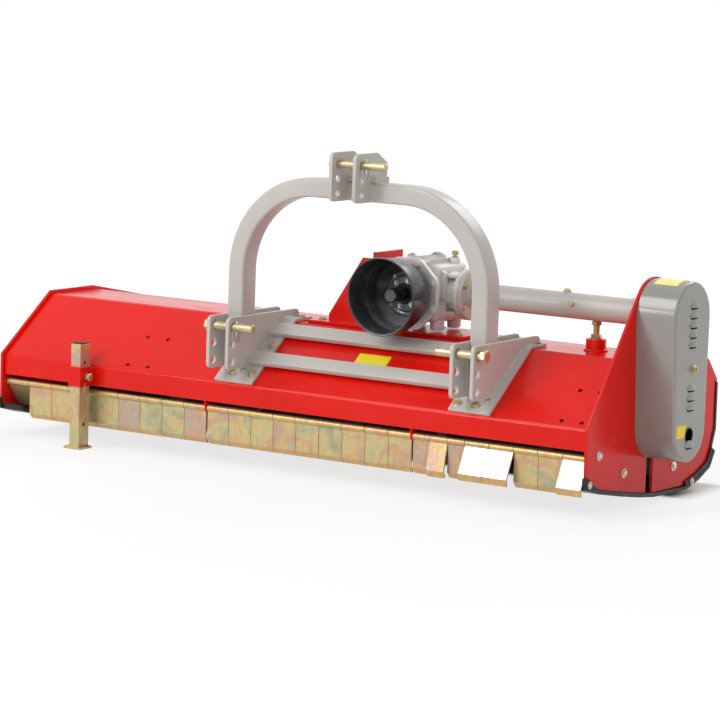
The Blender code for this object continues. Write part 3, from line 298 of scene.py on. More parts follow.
@dataclass(frozen=True)
class Passivated(Finish):
    """Yellow zinc plating: a thin film whose colour wanders, streaked and rubbed pale."""

    stops: tuple[tuple[float, Colour], ...]
    metal: float = 0.55
    dull: float = 0.38

    def make(self, graph: Graph) -> bpy.types.Material:
        """Build the shader.

        The mesh attribute "tint" shifts a piece along the colours; two face attributes paint light
        on single faces: one a golden highlight along the bends, the other a near-white reflection
        that also makes them smooth.
        """
        where = graph.place()
        tint, bend_highlight, glare = (graph.mark(name) for name in ("tint", "bend_highlight", "glare"))
        film = graph.noise(where, 13.0, 3.0, 1.2) + tint * 0.30
        colour = graph.node("ShaderNodeValToRGB", {"stops": self.stops}, {0: film})
        streak = graph.noise(graph.place((40.0, 40.0, 5.0)), 3.0, 5.0).step(0.45, 0.75)
        rubbed = graph.noise(where, 90.0, 5.0, 0.5).step(0.54, 0.74)
        # Painted highlight: a golden band along the eye curl and the lip.
        colour = graph.mix(bend_highlight, colour, srgb(222, 170, 92))
        colour = graph.mix(streak * 0.22, colour, srgb(128, 112, 72))
        colour = graph.mix(rubbed * 0.34, colour, srgb(226, 214, 184))
        # Painted reflection: the front faces of the swung-out flaps are turned near white.
        colour = graph.mix(glare * 0.94, colour, srgb(206, 204, 197))
        grain = graph.noise(where, 520.0, 3.0)
        rough = (streak * 0.12 - rubbed * 0.05 + self.dull) * (1.0 - glare * 0.6)
        wave = graph.noise(where, 26.0)
        normal = graph.relief((wave, 0.00012, 0.4), (grain, 0.00004, 0.6))
        return graph.principled(
            Base_Color=colour, Roughness=rough, Metallic=self.metal, Normal=normal,
        )


@dataclass(frozen=True)
class Casting(Finish):
    """Sand-cast metal under thin silver paint, dull in its hollows."""

    colour: Colour

    def make(self, graph: Graph) -> bpy.types.Material:
        """Build the shader."""
        where = graph.place()
        sand = graph.noise(where, 620.0, 4.0)
        lump = graph.noise(where, 70.0, 4.0)
        stain = graph.noise(where, 12.0, 5.0, 0.8).step(0.45, 0.75)
        colour = graph.mix(stain * 0.55, self.colour, shade(self.colour, 0.62))
        colour = graph.mix(lump.step(0.55, 0.75) * 0.35, colour, srgb(214, 212, 206))
        rough = 0.40 + lump * 0.22 + stain * 0.08
        normal = graph.relief((lump, 0.0009, 0.5), (sand, 0.00022, 0.55))
        return graph.principled(Base_Color=colour, Roughness=rough, Metallic=0.25, Normal=normal)


@dataclass(frozen=True)
class Turned(Finish):
    """Bare machined steel with fine tool marks and a film of oil."""

    colour: Colour

    def make(self, graph: Graph) -> bpy.types.Material:
        """Build the shader."""
        where = graph.place()
        marks = graph.noise(graph.place((60.0, 4.0, 4.0)), 14.0, 3.0)
        oil = graph.noise(where, 18.0, 4.0, 1.0).step(0.45, 0.72)
        colour = graph.mix(oil * 0.5, self.colour, shade(self.colour, 0.55))
        rough = 0.24 + marks * 0.16 + oil * 0.10
        normal = graph.relief((marks, 0.00005, 0.6))
        return graph.principled(Base_Color=colour, Roughness=rough, Metallic=1.0, Normal=normal)


@dataclass(frozen=True)
class Moulded(Finish):
    """Black plastic or rubber with a fine skin and dull marks; a face attribute paints a pale grey
    sheen on single faces, standing in for a reflection.
    """

    colour: Colour
    gloss: float
    skin: float

    def make(self, graph: Graph) -> bpy.types.Material:
        """Build the shader."""
        where = graph.place()
        skin = graph.noise(where, 700.0, 2.0)
        haze = graph.noise(where, 22.0, 5.0, 0.6).step(0.42, 0.74)
        # Painted reflection: a pale grey sheen on the faces that the attribute marks.
        painted_sheen = graph.mark("painted_sheen") * (haze * 0.4 + 0.6)
        colour = graph.mix(haze * 0.5, self.colour, shade(self.colour, 2.6))
        colour = graph.mix(painted_sheen, colour, srgb(158, 158, 162))
        rough = haze * 0.18 + self.gloss
        wave = graph.noise(where, 40.0)
        normal = graph.relief((wave, self.skin * 4, 0.4), (skin, self.skin, 0.6))
        return graph.principled(Base_Color=colour, Roughness=rough, Normal=normal)


@dataclass(frozen=True)
class Film(Finish):
    """A plain stuck-on patch: soft creases and slightly faded spots."""

    colour: Colour

    def make(self, graph: Graph) -> bpy.types.Material:
        """Build the shader."""
        where = graph.place()
        fade = graph.noise(where, 60.0, 4.0).step(0.40, 0.75)
        crease = graph.noise(where, 34.0, 2.0)
        colour = graph.mix(fade * 0.4, self.colour, shade(self.colour, 0.84))
        normal = graph.relief((crease, 0.0004, 0.5))
        return graph.principled(Base_Color=colour, Roughness=fade * 0.12 + 0.34, Normal=normal)


FLAP_STOPS = (
    (0.26, srgb(172, 162, 128)), (0.37, srgb(186, 180, 138)), (0.46, srgb(204, 186, 130)),
    (0.54, srgb(206, 174, 122)), (0.62, srgb(202, 160, 134)), (0.70, srgb(190, 164, 148)),
    (0.79, srgb(180, 180, 140)), (0.90, srgb(204, 188, 136)),
)
BOLT_STOPS = (
    (0.30, srgb(150, 136, 102)), (0.50, srgb(202, 186, 144)), (0.66, srgb(176, 154, 116)),
    (0.80, srgb(208, 198, 160)),
)
SILVER_STOPS = (
    (0.30, srgb(176, 166, 152)), (0.52, srgb(212, 206, 196)), (0.75, srgb(186, 168, 142)),
)

RED = Enamel("red_enamel", Slot.RED, srgb(229, 24, 13), 0.20)
GREY = Enamel("warm_grey_enamel", Slot.GREY, srgb(198, 193, 187), 0.32, 0.0001, 0.4, 0.05)
COVER_GREY = Enamel("cover_grey_enamel", Slot.COVER, srgb(152, 149, 144), 0.22, 0.00008, 0.8, 0.04)
BLACK = Enamel("black_enamel", Slot.BLACK, srgb(34, 34, 35), 0.42, 0.0002, 0.3, 0.20)
GOLD = Passivated("flap_plating", Slot.ZINC, FLAP_STOPS)
BOLT_GOLD = Passivated("bolt_plating", Slot.ZINC, BOLT_STOPS, 0.65, 0.28)
BOLT_SILVER = Passivated("bolt_silver", Slot.ZINC, SILVER_STOPS, 0.85, 0.24)
SILVER = Casting("silver_casting", Slot.CAST, srgb(222, 220, 216))
STEEL = Turned("turned_steel", Slot.STEEL, srgb(176, 176, 178))
# Dark oiled steel: the input shaft's own colour; on the hub inside the guard it is painted shade.
DARK_STEEL_AND_SHADE = Turned("oiled_steel_and_shade", Slot.STEEL, srgb(86, 86, 90))
PLASTIC = Moulded("guard_plastic", Slot.PLASTIC, srgb(40, 40, 43), 0.17, 0.00004)
RUBBER = Moulded("belt_rubber", Slot.RUBBER, srgb(28, 28, 28), 0.62, 0.0003)
YELLOW = Film("yellow_film", Slot.COVER, srgb(246, 226, 20))
GOLDEN = Film("golden_film", Slot.COVER, srgb(250, 216, 18))
PALE_YELLOW = Film("pale_yellow_film", Slot.COVER, srgb(250, 243, 140))


# Surfaces

@dataclass
class Shell:
    """Points and faces of a surface, held as arrays until a piece is made of them."""

    points: np.ndarray
    quads: np.ndarray
    caps: list[np.ndarray]

    def __add__(self, other: "Shell") -> "Shell":
        """Both shells as one."""
        shift = len(self.points)
        return Shell(
            np.vstack((self.points, other.points)),
            np.vstack((self.quads, other.quads + shift)),
            self.caps + [cap + shift for cap in other.caps],
        )

    def turned(self, degrees: float, axis: str, about: Triple) -> "Shell":
        """A copy turned about an axis through a point."""
        turn = np.array(Matrix.Rotation(math.radians(degrees), 3, axis))
        about = np.asarray(about, float)
        return Shell((self.points - about) @ turn.T + about, self.quads, self.caps)

    def cut_to(self, keep: Callable[[np.ndarray], np.ndarray]) -> "Shell":
        """A copy whose points have been passed through a function of all of them."""
        return Shell(keep(self.points.copy()), self.quads, self.caps)


def total(shells: Sequence[Shell]) -> Shell:
    """Many shells as one."""
    first, *rest = shells
    for shell in rest:
        first = first + shell
    return first


def grid(points: np.ndarray, around: bool = False, ends: bool = True) -> Shell:
    """Quads over a grid of points whose columns close into loops.

    Args:
        points: array of rows x columns x 3.
        around: the last row joins the first.
        ends: the first and last rows are closed with a flat face.

    Returns:
        The shell.
    """
    rows, columns = points.shape[:2]
    index = np.arange(rows * columns).reshape(rows, columns)
    caps = [] if around or not ends else [index[0][::-1].copy(), index[-1].copy()]
    if around:
        index = np.vstack((index, index[:1]))
    index = np.hstack((index, index[:, :1]))
    quads = np.stack((index[:-1, :-1], index[:-1, 1:], index[1:, 1:], index[1:, :-1]), axis=-1)
    return Shell(points.reshape(-1, 3), quads.reshape(-1, 4), caps)


def unit(vectors: np.ndarray) -> np.ndarray:
    """Vectors of length 1."""
    return vectors / np.linalg.norm(vectors, axis=-1, keepdims=True)


def basis(along: Triple) -> tuple[np.ndarray, np.ndarray, np.ndarray]:
    """A direction and two others square to it."""
    along = unit(np.asarray(along, float))
    helper = np.array((0.0, 0.0, 1.0)) if abs(along[2]) < 0.9 else np.array((1.0, 0.0, 0.0))
    side = unit(np.cross(helper, along))
    return along, side, np.cross(along, side)


def lathe(
    profile: Sequence[tuple[float, float]], centre: Triple, along: Triple = (1.0, 0.0, 0.0),
    sides: int = 48, ring: bool = False, twist: float = 0.0,
    swell: Callable[[np.ndarray], np.ndarray] | None = None,
) -> Shell:
    """Surface of revolution.

    P(u, v) = centre + length(u) * along + radius(u) * swell(v) * (cos v * side + sin v * rise).

    Args:
        profile: (length, radius) pairs.
        centre: where the lengths start.
        along: direction of the axis.
        sides: steps round the axis.
        ring: the profile closes on itself and leaves a hole.
        twist: degrees to turn the first side.
        swell: factor on the radius as a function of the angle.

    Returns:
        The shell.
    """
    axis, side, rise = basis(along)
    length, radius = np.asarray(profile, float).T
    angle = 2 * np.pi * np.arange(sides) / sides + math.radians(twist)
    factor = np.ones(sides) if swell is None else swell(angle)
    spoke = np.cos(angle)[:, None] * side + np.sin(angle)[:, None] * rise
    points = length[:, None, None] * axis + radius[:, None, None] * (factor[:, None] * spoke)[None]
    return grid(points + np.asarray(centre, float), around=ring)


def sweep(
    outline: np.ndarray, path: Sequence[Triple], up: Triple, loop: bool = False,
    size: np.ndarray | None = None,
) -> Shell:
    """Carry a closed outline along a path.

    P(u, v) = path(u) + size(u) * (outline_x(v) * side(u) + outline_y(v) * rise(u)), where
    side is square to the path and to up, and rise is square to both.

    Args:
        outline: (n, 2) points.
        path: points of the path.
        up: a direction that the path never takes.
        loop: the path closes on itself.
        size: factor at each path point.

    Returns:
        The shell.
    """
    path = np.asarray(path, float)
    ahead = np.roll(path, -1, 0) - np.roll(path, 1, 0) if loop else np.gradient(path, axis=0)
    ahead = unit(ahead)
    side = unit(np.cross(ahead, np.asarray(up, float)))
    rise = np.cross(side, ahead)
    size = np.ones(len(path)) if size is None else size
    spread = outline[None, :, 0, None] * side[:, None] + outline[None, :, 1, None] * rise[:, None]
    return grid(path[:, None] + size[:, None, None] * spread, around=loop)


def slab(
    outline: np.ndarray, origin: Triple, right: Triple, up: Triple, low: float, high: float,
) -> Shell:
    """An outline drawn on a plane and given thickness.

    P(u, v) = origin + outline_x(v) * right + outline_y(v) * up + depth(u) * (right x up).
    """
    right, up = unit(np.asarray(right, float)), unit(np.asarray(up, float))
    face = np.asarray(outline, float)
    flat = np.asarray(origin, float) + face[:, :1] * right + face[:, 1:] * up
    depth = np.array((low, high))[:, None, None] * np.cross(right, up)
    return grid(flat[None] + depth)


def rounded(wide: float, high: float, radius: float, steps: int = 5) -> np.ndarray:
    """Outline of a rectangle with round corners, centred on zero.

    Each corner is the corner circle's centre plus radius * (cos a, sin a) over a quarter.
    """
    turn = np.linspace(0.0, np.pi / 2, steps + 1)
    quarters = np.arange(4)[:, None] * np.pi / 2 + turn
    centre = np.array(((1, 1), (-1, 1), (-1, -1), (1, -1))) * (wide / 2 - radius, high / 2 - radius)
    points = centre[:, None] + radius * np.stack((np.cos(quarters), np.sin(quarters)), axis=-1)
    return points.reshape(-1, 2)


def circle(radius: float, steps: int = 12) -> np.ndarray:
    """Outline of a circle."""
    angle = 2 * np.pi * np.arange(steps) / steps
    return radius * np.stack((np.cos(angle), np.sin(angle)), axis=-1)


def arc(
    centre: tuple[float, float], radius: float, start: float, end: float, steps: int,
) -> np.ndarray:
    """Points along an arc, from start to end in degrees."""
    angle = np.radians(np.linspace(start, end, steps + 1))
    return np.asarray(centre) + radius * np.stack((np.cos(angle), np.sin(angle)), axis=-1)


def cushion_box(centre: Triple, half: Triple, power: float = 0.22, steps: int = 24) -> Shell:
    """A cast block with full, round edges: a superellipsoid.

    P(u, v) = centre + half * (c(u) c(v), c(u) s(v), s(u)), where c and s are cosine and
    sine raised to a small power with their signs kept.
    """
    def bent(value: np.ndarray) -> np.ndarray:
        """The value raised to the power, with its sign kept."""
        return np.sign(value) * np.abs(value) ** power

    rise = np.linspace(-np.pi / 2, np.pi / 2, steps + 1)[1:-1]
    turn = 2 * np.pi * (np.arange(steps * 2) + 0.5) / (steps * 2)
    flat = bent(np.cos(rise))[:, None]
    tall = bent(np.sin(rise))[:, None] + 0 * turn
    shape = np.stack((flat * bent(np.cos(turn)), flat * bent(np.sin(turn)), tall), axis=-1)
    return grid(np.asarray(centre, float) + np.asarray(half, float) * shape)


def bead(start: Triple, end: Triple, radius: float = 0.0028, pitch: float = 0.004) -> Shell:
    """A weld bead: a round cord along a straight run, its radius rippling with distance.

    radius(s) = radius * (1 + 0.13 * sin(2 pi s / pitch)), with both ends drawn in.
    """
    ends = np.array((start, end), float)
    run = np.linalg.norm(ends[1] - ends[0])
    along = np.linspace(0.0, run, max(int(run / pitch * 4), 8))
    points = np.stack([np.interp(along, (0.0, run), ends[:, k]) for k in range(3)], axis=-1)
    size = 1.0 + 0.13 * np.sin(2 * np.pi * along / pitch)
    size = size * np.clip(np.minimum(along, run - along) / radius + 0.45, 0.0, 1.0)
    heading = np.abs(unit(ends[1] - ends[0]))
    up = np.eye(3)[int(np.argmin(heading))]
    return sweep(circle(radius, 8), points, up, size=size)


def hex_head(at: Triple, along: Triple, across: float, high: float, turn: float) -> Shell:
    """A chamfered hexagon on a round washer, as two lathes of 6 and 20 sides."""
    washer = ((0.0, across * 1.42), (0.0018, across * 1.42), (0.0022, across * 1.34))
    head = ((0.001, across), (high - 0.0016, across), (high, across * 0.84))
    return lathe(washer, at, along, 20) + lathe(head, at, along, 6, twist=turn)


def nut(at: Triple, along: Triple, across: float, high: float, turn: float) -> Shell:
    """A hexagon nut on its washer with the end of its bolt showing."""
    stud = ((0.002, across * 0.56), (high + 0.0035, across * 0.56), (high + 0.0045, across * 0.44))
    return hex_head(at, along, across, high, turn) + lathe(stud, at, along, 14)


def bolt_circle(
    middle: Triple, along: Triple, radius: float, places: tuple[int, float],
    size: tuple[float, float], turn: float, make: Callable[..., Shell] = hex_head,
) -> list[Shell]:
    """Hexagon heads evenly round a circle: middle + radius * (cos a * side + sin a * up).

    Args:
        middle: centre of the circle.
        along: the heads' direction, along X or Y.
        radius: of the circle.
        places: number of heads, and the first one's angle in degrees.
        size: half width and height of a head.
        turn: degrees by which each head is turned against the one before.
        make: hex_head or nut.

    Returns:
        The heads.
    """
    count, first = places
    angle = np.radians(np.arange(count) * (360 / count) + first)[:, None]
    side = np.array(Y_AXIS if along[0] else X_AXIS)
    spots = np.array(middle) + radius * (np.cos(angle) * side + np.sin(angle) * np.array(Z_AXIS))
    return [make(spot, along, *size, turn * number) for number, spot in enumerate(spots)]


def link_pin(at: Triple, hang: Triple, loop: float) -> Shell:
    """A small lock pin through a hitch pin, with its sprung wire ring hanging from it.

    The ring is a cord round the oval centre + loop * (0.86 sin a * side - cos a * down).
    """
    down, side, _ = basis(hang)
    angle = np.linspace(np.radians(18.0), np.radians(342.0), 33)[:, None]
    centre = np.asarray(at, float) + down * loop * 1.02
    ring = centre - loop * (np.cos(angle) * down) + loop * 0.86 * np.sin(angle) * side
    shaft = ((-0.016, 0.0032), (-0.014, 0.0042), (0.020, 0.0042), (0.023, 0.0030))
    wire = sweep(circle(0.0014, 8), ring, np.cross(down, side))
    return lathe(shaft, at, down, 14) + wire


# Pieces

def attribute(mesh: bpy.types.Mesh, name: str, values: np.ndarray, domain: str) -> None:
    """Keep a number under a name for each point or face of a mesh."""
    mesh.attributes.new(name, "FLOAT", domain).data.foreach_set("value", values.astype(np.float32))


def dressed(
    obj: bpy.types.Object, finish: Finish, bevel: float, weighted: bool, body: str,
    stands_for: Sequence[str],
) -> bpy.types.Object:
    """Give a finished mesh its material, edges and body, and hide the nodes that it replaces.

    Args:
        obj: the object, with its place in its mesh.
        finish: what it is made of or coated with.
        bevel: width of its rounded edges, or 0.
        weighted: the edges' own weights scale the width.
        body: the body that it rides on.
        stands_for: nodes that it replaces.

    Returns:
        The same object.
    """
    bpy.context.scene.collection.objects.link(obj)
    obj.data.materials.clear()
    obj.data.materials.append(finish.material())
    obj.data.shade_smooth()
    obj.data.set_sharp_from_angle(angle=CREASE)
    if bevel > 0.0:
        edge = obj.modifiers.new("edges", "BEVEL")
        edge.limit_method = "WEIGHT" if weighted else "ANGLE"
        edge.angle_limit = CREASE
        edge.width = bevel
        edge.segments = 3 if weighted else 2
        edge.use_clamp_overlap = False
        edge.harden_normals = True
    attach(obj, body)
    if stands_for:
        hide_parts(*stands_for)
    LOG.info("%s on %s: %s", obj.name, body, finish.name)
    return obj


def put(
    name: str, shell: Shell, finish: Finish, body: str = FIXED, stands_for: Sequence[str] = (),
    bevel: float = 0.0, tint: float = 0.0, marks: dict[str, np.ndarray] | None = None,
) -> bpy.types.Object:
    """Make a piece from a shell.

    Args:
        name: name of the piece.
        shell: its surface, in the layout's own frame.
        finish: its finish.
        body: the body that it rides on.
        stands_for: nodes that it replaces.
        bevel: width of its rounded edges.
        tint: value of the "tint" attribute, for plated pieces.
        marks: more attributes, with a value for each of the shell's quads.

    Returns:
        The object.
    """
    mesh = bpy.data.meshes.new(name)
    faces = shell.quads.tolist() + [cap.tolist() for cap in shell.caps]
    mesh.from_pydata(shell.points + SHIFT, [], faces)
    work = bmesh.new()
    work.from_mesh(mesh)
    bmesh.ops.recalc_face_normals(work, faces=work.faces)
    work.to_mesh(mesh)
    work.free()
    attribute(mesh, "tint", np.full(len(mesh.vertices), tint), "POINT")
    for key, values in (marks or {}).items():
        full = np.zeros(len(mesh.polygons))
        full[:len(values)] = values
        attribute(mesh, key, full, "FACE")
    return dressed(bpy.data.objects.new(name, mesh), finish, bevel, False, body, stands_for)


def refined(
    name: str, node: str, finish: Finish, bevel: float = 0.0012,
    weight: Callable[[np.ndarray, np.ndarray], np.ndarray] | None = None,
    body: str = FIXED, tint: float = 0.0, cut_x: float | None = None,
) -> bpy.types.Object:
    """Stand in for a plate node with the same plate, its edges rounded.

    Args:
        name: name of the piece.
        node: the node.
        finish: its finish.
        bevel: width of the rounded edges.
        weight: share of that width for each edge, from the arrays of its two ends.
        body: the body that it rides on.
        tint: value of the "tint" attribute.
        cut_x: what stands out past this X is taken off, and the cut closed.

    Returns:
        The object.
    """
    work = bmesh.new()
    work.from_mesh(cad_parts[node].data)
    bmesh.ops.remove_doubles(work, verts=work.verts, dist=1e-5)
    if cut_x is not None:
        everything = [*work.verts, *work.edges, *work.faces]
        plane = (cut_x + float(SHIFT[0]), 0.0, 0.0)
        bmesh.ops.bisect_plane(
            work, geom=everything, plane_co=plane, plane_no=X_AXIS, clear_outer=True,
        )
        bmesh.ops.holes_fill(work, edges=[edge for edge in work.edges if edge.is_boundary])
    flat = math.radians(0.8)
    bmesh.ops.dissolve_limit(work, angle_limit=flat, verts=work.verts, edges=work.edges)
    bmesh.ops.triangulate(work, faces=[face for face in work.faces if len(face.verts) > 4])
    if weight is not None:
        ends = np.array([[vertex.co for vertex in edge.verts] for edge in work.edges]) - SHIFT
        bends = np.array([edge.calc_face_angle(0.0) for edge in work.edges]) > math.radians(25)
        share = weight(ends[:, 0], ends[:, 1]) * bends
        layer = work.edges.layers.float.new("bevel_weight_edge")
        for edge, value in zip(work.edges, share):
            edge[layer] = float(value)
    mesh = bpy.data.meshes.new(name)
    work.to_mesh(mesh)
    work.free()
    for spare in ("custom_normal", "sharp_edge", "sharp_face"):
        if spare in mesh.attributes:
            mesh.attributes.remove(mesh.attributes[spare])
    attribute(mesh, "tint", np.full(len(mesh.vertices), tint), "POINT")
    obj = bpy.data.objects.new(name, mesh)
    return dressed(obj, finish, bevel, weight is not None, body, (node,))


def coat(finish: Finish, *nodes: str) -> None:
    """Give carried nodes a material, leaving their meshes alone."""
    for node in nodes:
        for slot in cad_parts[node].material_slots:
            slot.material = finish.material()
        LOG.info("%s kept: %s", node, finish.name)


@dataclass
class Slope:
    """The front slope of the deck, on which the hitch stands."""

    fold_z: float = 0.216
    run: float = 0.193
    rise: float = 0.149

    @property
    def angle(self) -> float:
        """Angle of the slope, in radians."""
        return math.atan2(self.rise, self.run)

    @property
    def up(self) -> Spot:
        """Direction up the slope."""
        return (0.0, math.cos(self.angle), math.sin(self.angle))

    @property
    def normal(self) -> Spot:
        """Direction square off the slope."""
        return (0.0, -math.sin(self.angle), math.cos(self.angle))

    def at(self, x: float, along: float, above: float = 0.0) -> np.ndarray:
        """A point at X, so far up the slope from its lower fold and so far off it."""
        start = np.array((x, 0.0, self.fold_z))
        return start + along * np.array(self.up) + above * np.array(self.normal)

    def height(self, y: np.ndarray, above: float) -> np.ndarray:
        """Z at Y, on the plane so far off the slope."""
        return self.fold_z + y * math.tan(self.angle) + above / math.cos(self.angle)


SLOPE = Slope()


@dataclass
class Deck:
    """The folded deck sheet, its end plates and the skids under them."""

    left: float = -1.098
    right: float = 0.690
    plate: float = 0.008
    skid: float = 0.0063
    bend: float = 0.007
    low_fold: float = 0.20
    edge: float = 0.0012
    plate_bolts: Pairs = ((0.049, 0.150), (0.1725, 0.094), (0.424, 0.080))
    plate_bolt: tuple[float, float] = (0.0085, 0.0065)
    skid_bolts: Pairs = ((-0.002, 0.0865), (0.512, 0.0315))
    skid_bolt: tuple[float, float] = (0.0065, 0.005)
    trim: Pairs = (
        (0.6130, 0.110), (0.6210, 0.104), (0.6385, 0.150), (0.6385, 0.268), (0.6300, 0.272),
        (0.6300, 0.153),
    )
    trim_out: float = 0.0098

    def bend_weight(self, first: np.ndarray, last: np.ndarray) -> np.ndarray:
        """Full width on the long folds of the sheet, a thin edge on the rest."""
        long = np.abs(first[:, 0] - last[:, 0]) > 0.3
        high = np.minimum(first[:, 2], last[:, 2]) > self.low_fold
        return np.where(long & high, 1.0, 0.09)

    def build(self) -> None:
        """Make the deck, the plates, the skids and their bolts."""
        refined("deck_sheet", "deck_shell", RED, self.bend, self.bend_weight)
        for side in ("left", "right"):
            refined(f"{side}_plate", f"end_plate_{side}", RED, self.edge)
        for side in ("left", "right"):
            refined(f"{side}_skid", f"skid_{side}", BLACK, self.edge)
        self.bolts()
        self.trims()
        self.patch()

    def bolts(self) -> None:
        """Bolts through both end plates and both skids."""
        heads = []
        for side, out in ((-1, self.left - self.plate), (1, self.right + self.plate)):
            for y, z in self.plate_bolts:
                heads.append(hex_head((out, y, z), (side, 0, 0), *self.plate_bolt, 20 + 400 * y))
            for y, z in self.skid_bolts:
                at = (out + side * self.skid, y, z)
                heads.append(hex_head(at, (side, 0, 0), *self.skid_bolt, 300 * y))
        put("plate_bolts", total(heads), BOLT_SILVER, tint=0.3)

    def trims(self) -> None:
        """The rear skirt's edging, where it shows past both end plates."""
        outline = np.array(self.trim)
        sides = (self.right + self.trim_out, self.left - self.trim_out)
        bars = [slab(outline, (x, 0, 0), Y_AXIS, Z_AXIS, -0.0015, 0.0015) for x in sides]
        put("rear_trims", total(bars), BLACK, bevel=0.0006)

    def patch(self) -> None:
        """A plain patch on the slope."""
        film = slab(rounded(0.095, 0.034, 0.002), SLOPE.at(0.0025, 0.1430), X_AXIS, SLOPE.up, *FILM)
        put("slope_patch", film, YELLOW)


@dataclass
class BeltCover:
    """The folded cup over the belt, its louvre hoods, bolt and spy hole rim."""

    face: float = 0.8063
    top: tuple[float, float] = (SHAFT_Y, SHAFT_Z)
    low: tuple[float, float] = (0.298, 0.196)
    top_radius: float = 0.089
    bend: float = 0.007
    wall: float = 0.0025
    middle_y: float = 0.297
    spy: tuple[float, float] = (0.293, 0.184)
    hoods: tuple[float, ...] = (
        0.494, 0.4702, 0.4464, 0.4226, 0.3988, 0.293, 0.2692, 0.2454, 0.153,
    )

    def rim_weight(self, first: np.ndarray, last: np.ndarray) -> np.ndarray:
        """Full width round the face, less on its inner line, a thin edge elsewhere."""
        top, low = np.array(self.top), np.array(self.low)
        middle = (first + last)[:, 1:] / 2
        share = np.clip((middle - low) @ (top - low) / np.sum((top - low) ** 2), 0.0, 1.0)
        far = np.linalg.norm(middle - (low + share[:, None] * (top - low)), axis=1) > 0.06
        along = np.abs(first[:, 0] - last[:, 0]) < 1e-4
        outer = along & far & (np.abs(first[:, 0] - self.face) < 1e-4)
        inner = along & far & (np.abs(first[:, 0] - self.face + self.wall) < 1e-4)
        return np.where(outer, 1.0, np.where(inner, 1.0 - self.wall / self.bend, 0.05))

    def hood(self, z: float) -> Shell:
        """One pressed louvre: a wedge that leans out from its root and is open below.

        P(u, v) = (depth * (1 - u)^0.7 * bulge, half width * sin v * (1 - 0.1 u),
        height * u * bulge^0.4), where bulge = (cos v)^0.8, from the lip at u = 0 to the root,
        and a copy pushed in closes it.
        """
        rise = np.linspace(0.0, 1.0, 7)[:, None]
        turn = np.linspace(-np.pi / 2, np.pi / 2, 19)[None]
        wide, high, deep, above = 0.0200, 0.0165, 0.0066, 0.0019
        bulge = np.maximum(np.cos(turn), 0.0) ** 0.8
        x = deep * (1 - rise) ** 0.7 * bulge
        y = wide * np.sin(turn) * (1 - 0.1 * rise)
        up = high * rise * bulge ** 0.4 + above + 0 * y
        outer = np.stack((x, y, up), axis=-1)
        inner = outer * (1.0, 0.93, 0.93) - (0.0011, 0.0, 0.0)
        inner[..., 0] = np.maximum(inner[..., 0], -0.0004)
        loops = np.concatenate((outer, inner[:, ::-1]), axis=1)
        return grid(loops + np.array((self.face, self.middle_y, z)))

    def build(self) -> None:
        """Make the cover and what sits on it."""
        refined(
            "belt_cover_cup", "belt_cover", COVER_GREY, self.bend, self.rim_weight,
            cut_x=self.face + SEAT,
        )
        put("cover_hoods", total([self.hood(z) for z in self.hoods]), COVER_GREY)
        centre = (self.face, 0.301, 0.345)
        put("cover_bolt", nut(centre, X_AXIS, 0.0088, 0.009, 12.0), BOLT_GOLD, tint=0.5)
        rim = (
            (-0.0028, 0.0176), (-0.0028, 0.0205), (0.0010, 0.0205), (0.0016, 0.0195),
            (0.0010, 0.0176),
        )
        put("spy_hole_rim", lathe(rim, (self.face, *self.spy), sides=40, ring=True), PLASTIC)
        corner = (self.face, 0.2530, 0.197)
        film = slab(rounded(0.045, 0.031, 0.001), corner, Y_AXIS, Z_AXIS, *FILM)
        put("cover_face_patch", film, GOLDEN)
        self.top_patch()

    def top_patch(self) -> None:
        """A plain patch bent over the top of the cover.

        P(u, v) = the cover's arc at angle v, at two radii, between two values of X.
        """
        angle = np.radians(np.linspace(78.0, 118.0, 15))
        ring = np.stack((np.cos(angle), np.sin(angle)), axis=-1)
        inner, outer = (np.array(self.top) + (self.top_radius + off) * ring for off in FILM)
        loop = np.concatenate((inner, outer[::-1]))
        rows = [np.column_stack((np.full(len(loop), x), loop)) for x in (0.716, 0.782)]
        put("cover_top_patch", grid(np.stack(rows)), PALE_YELLOW)


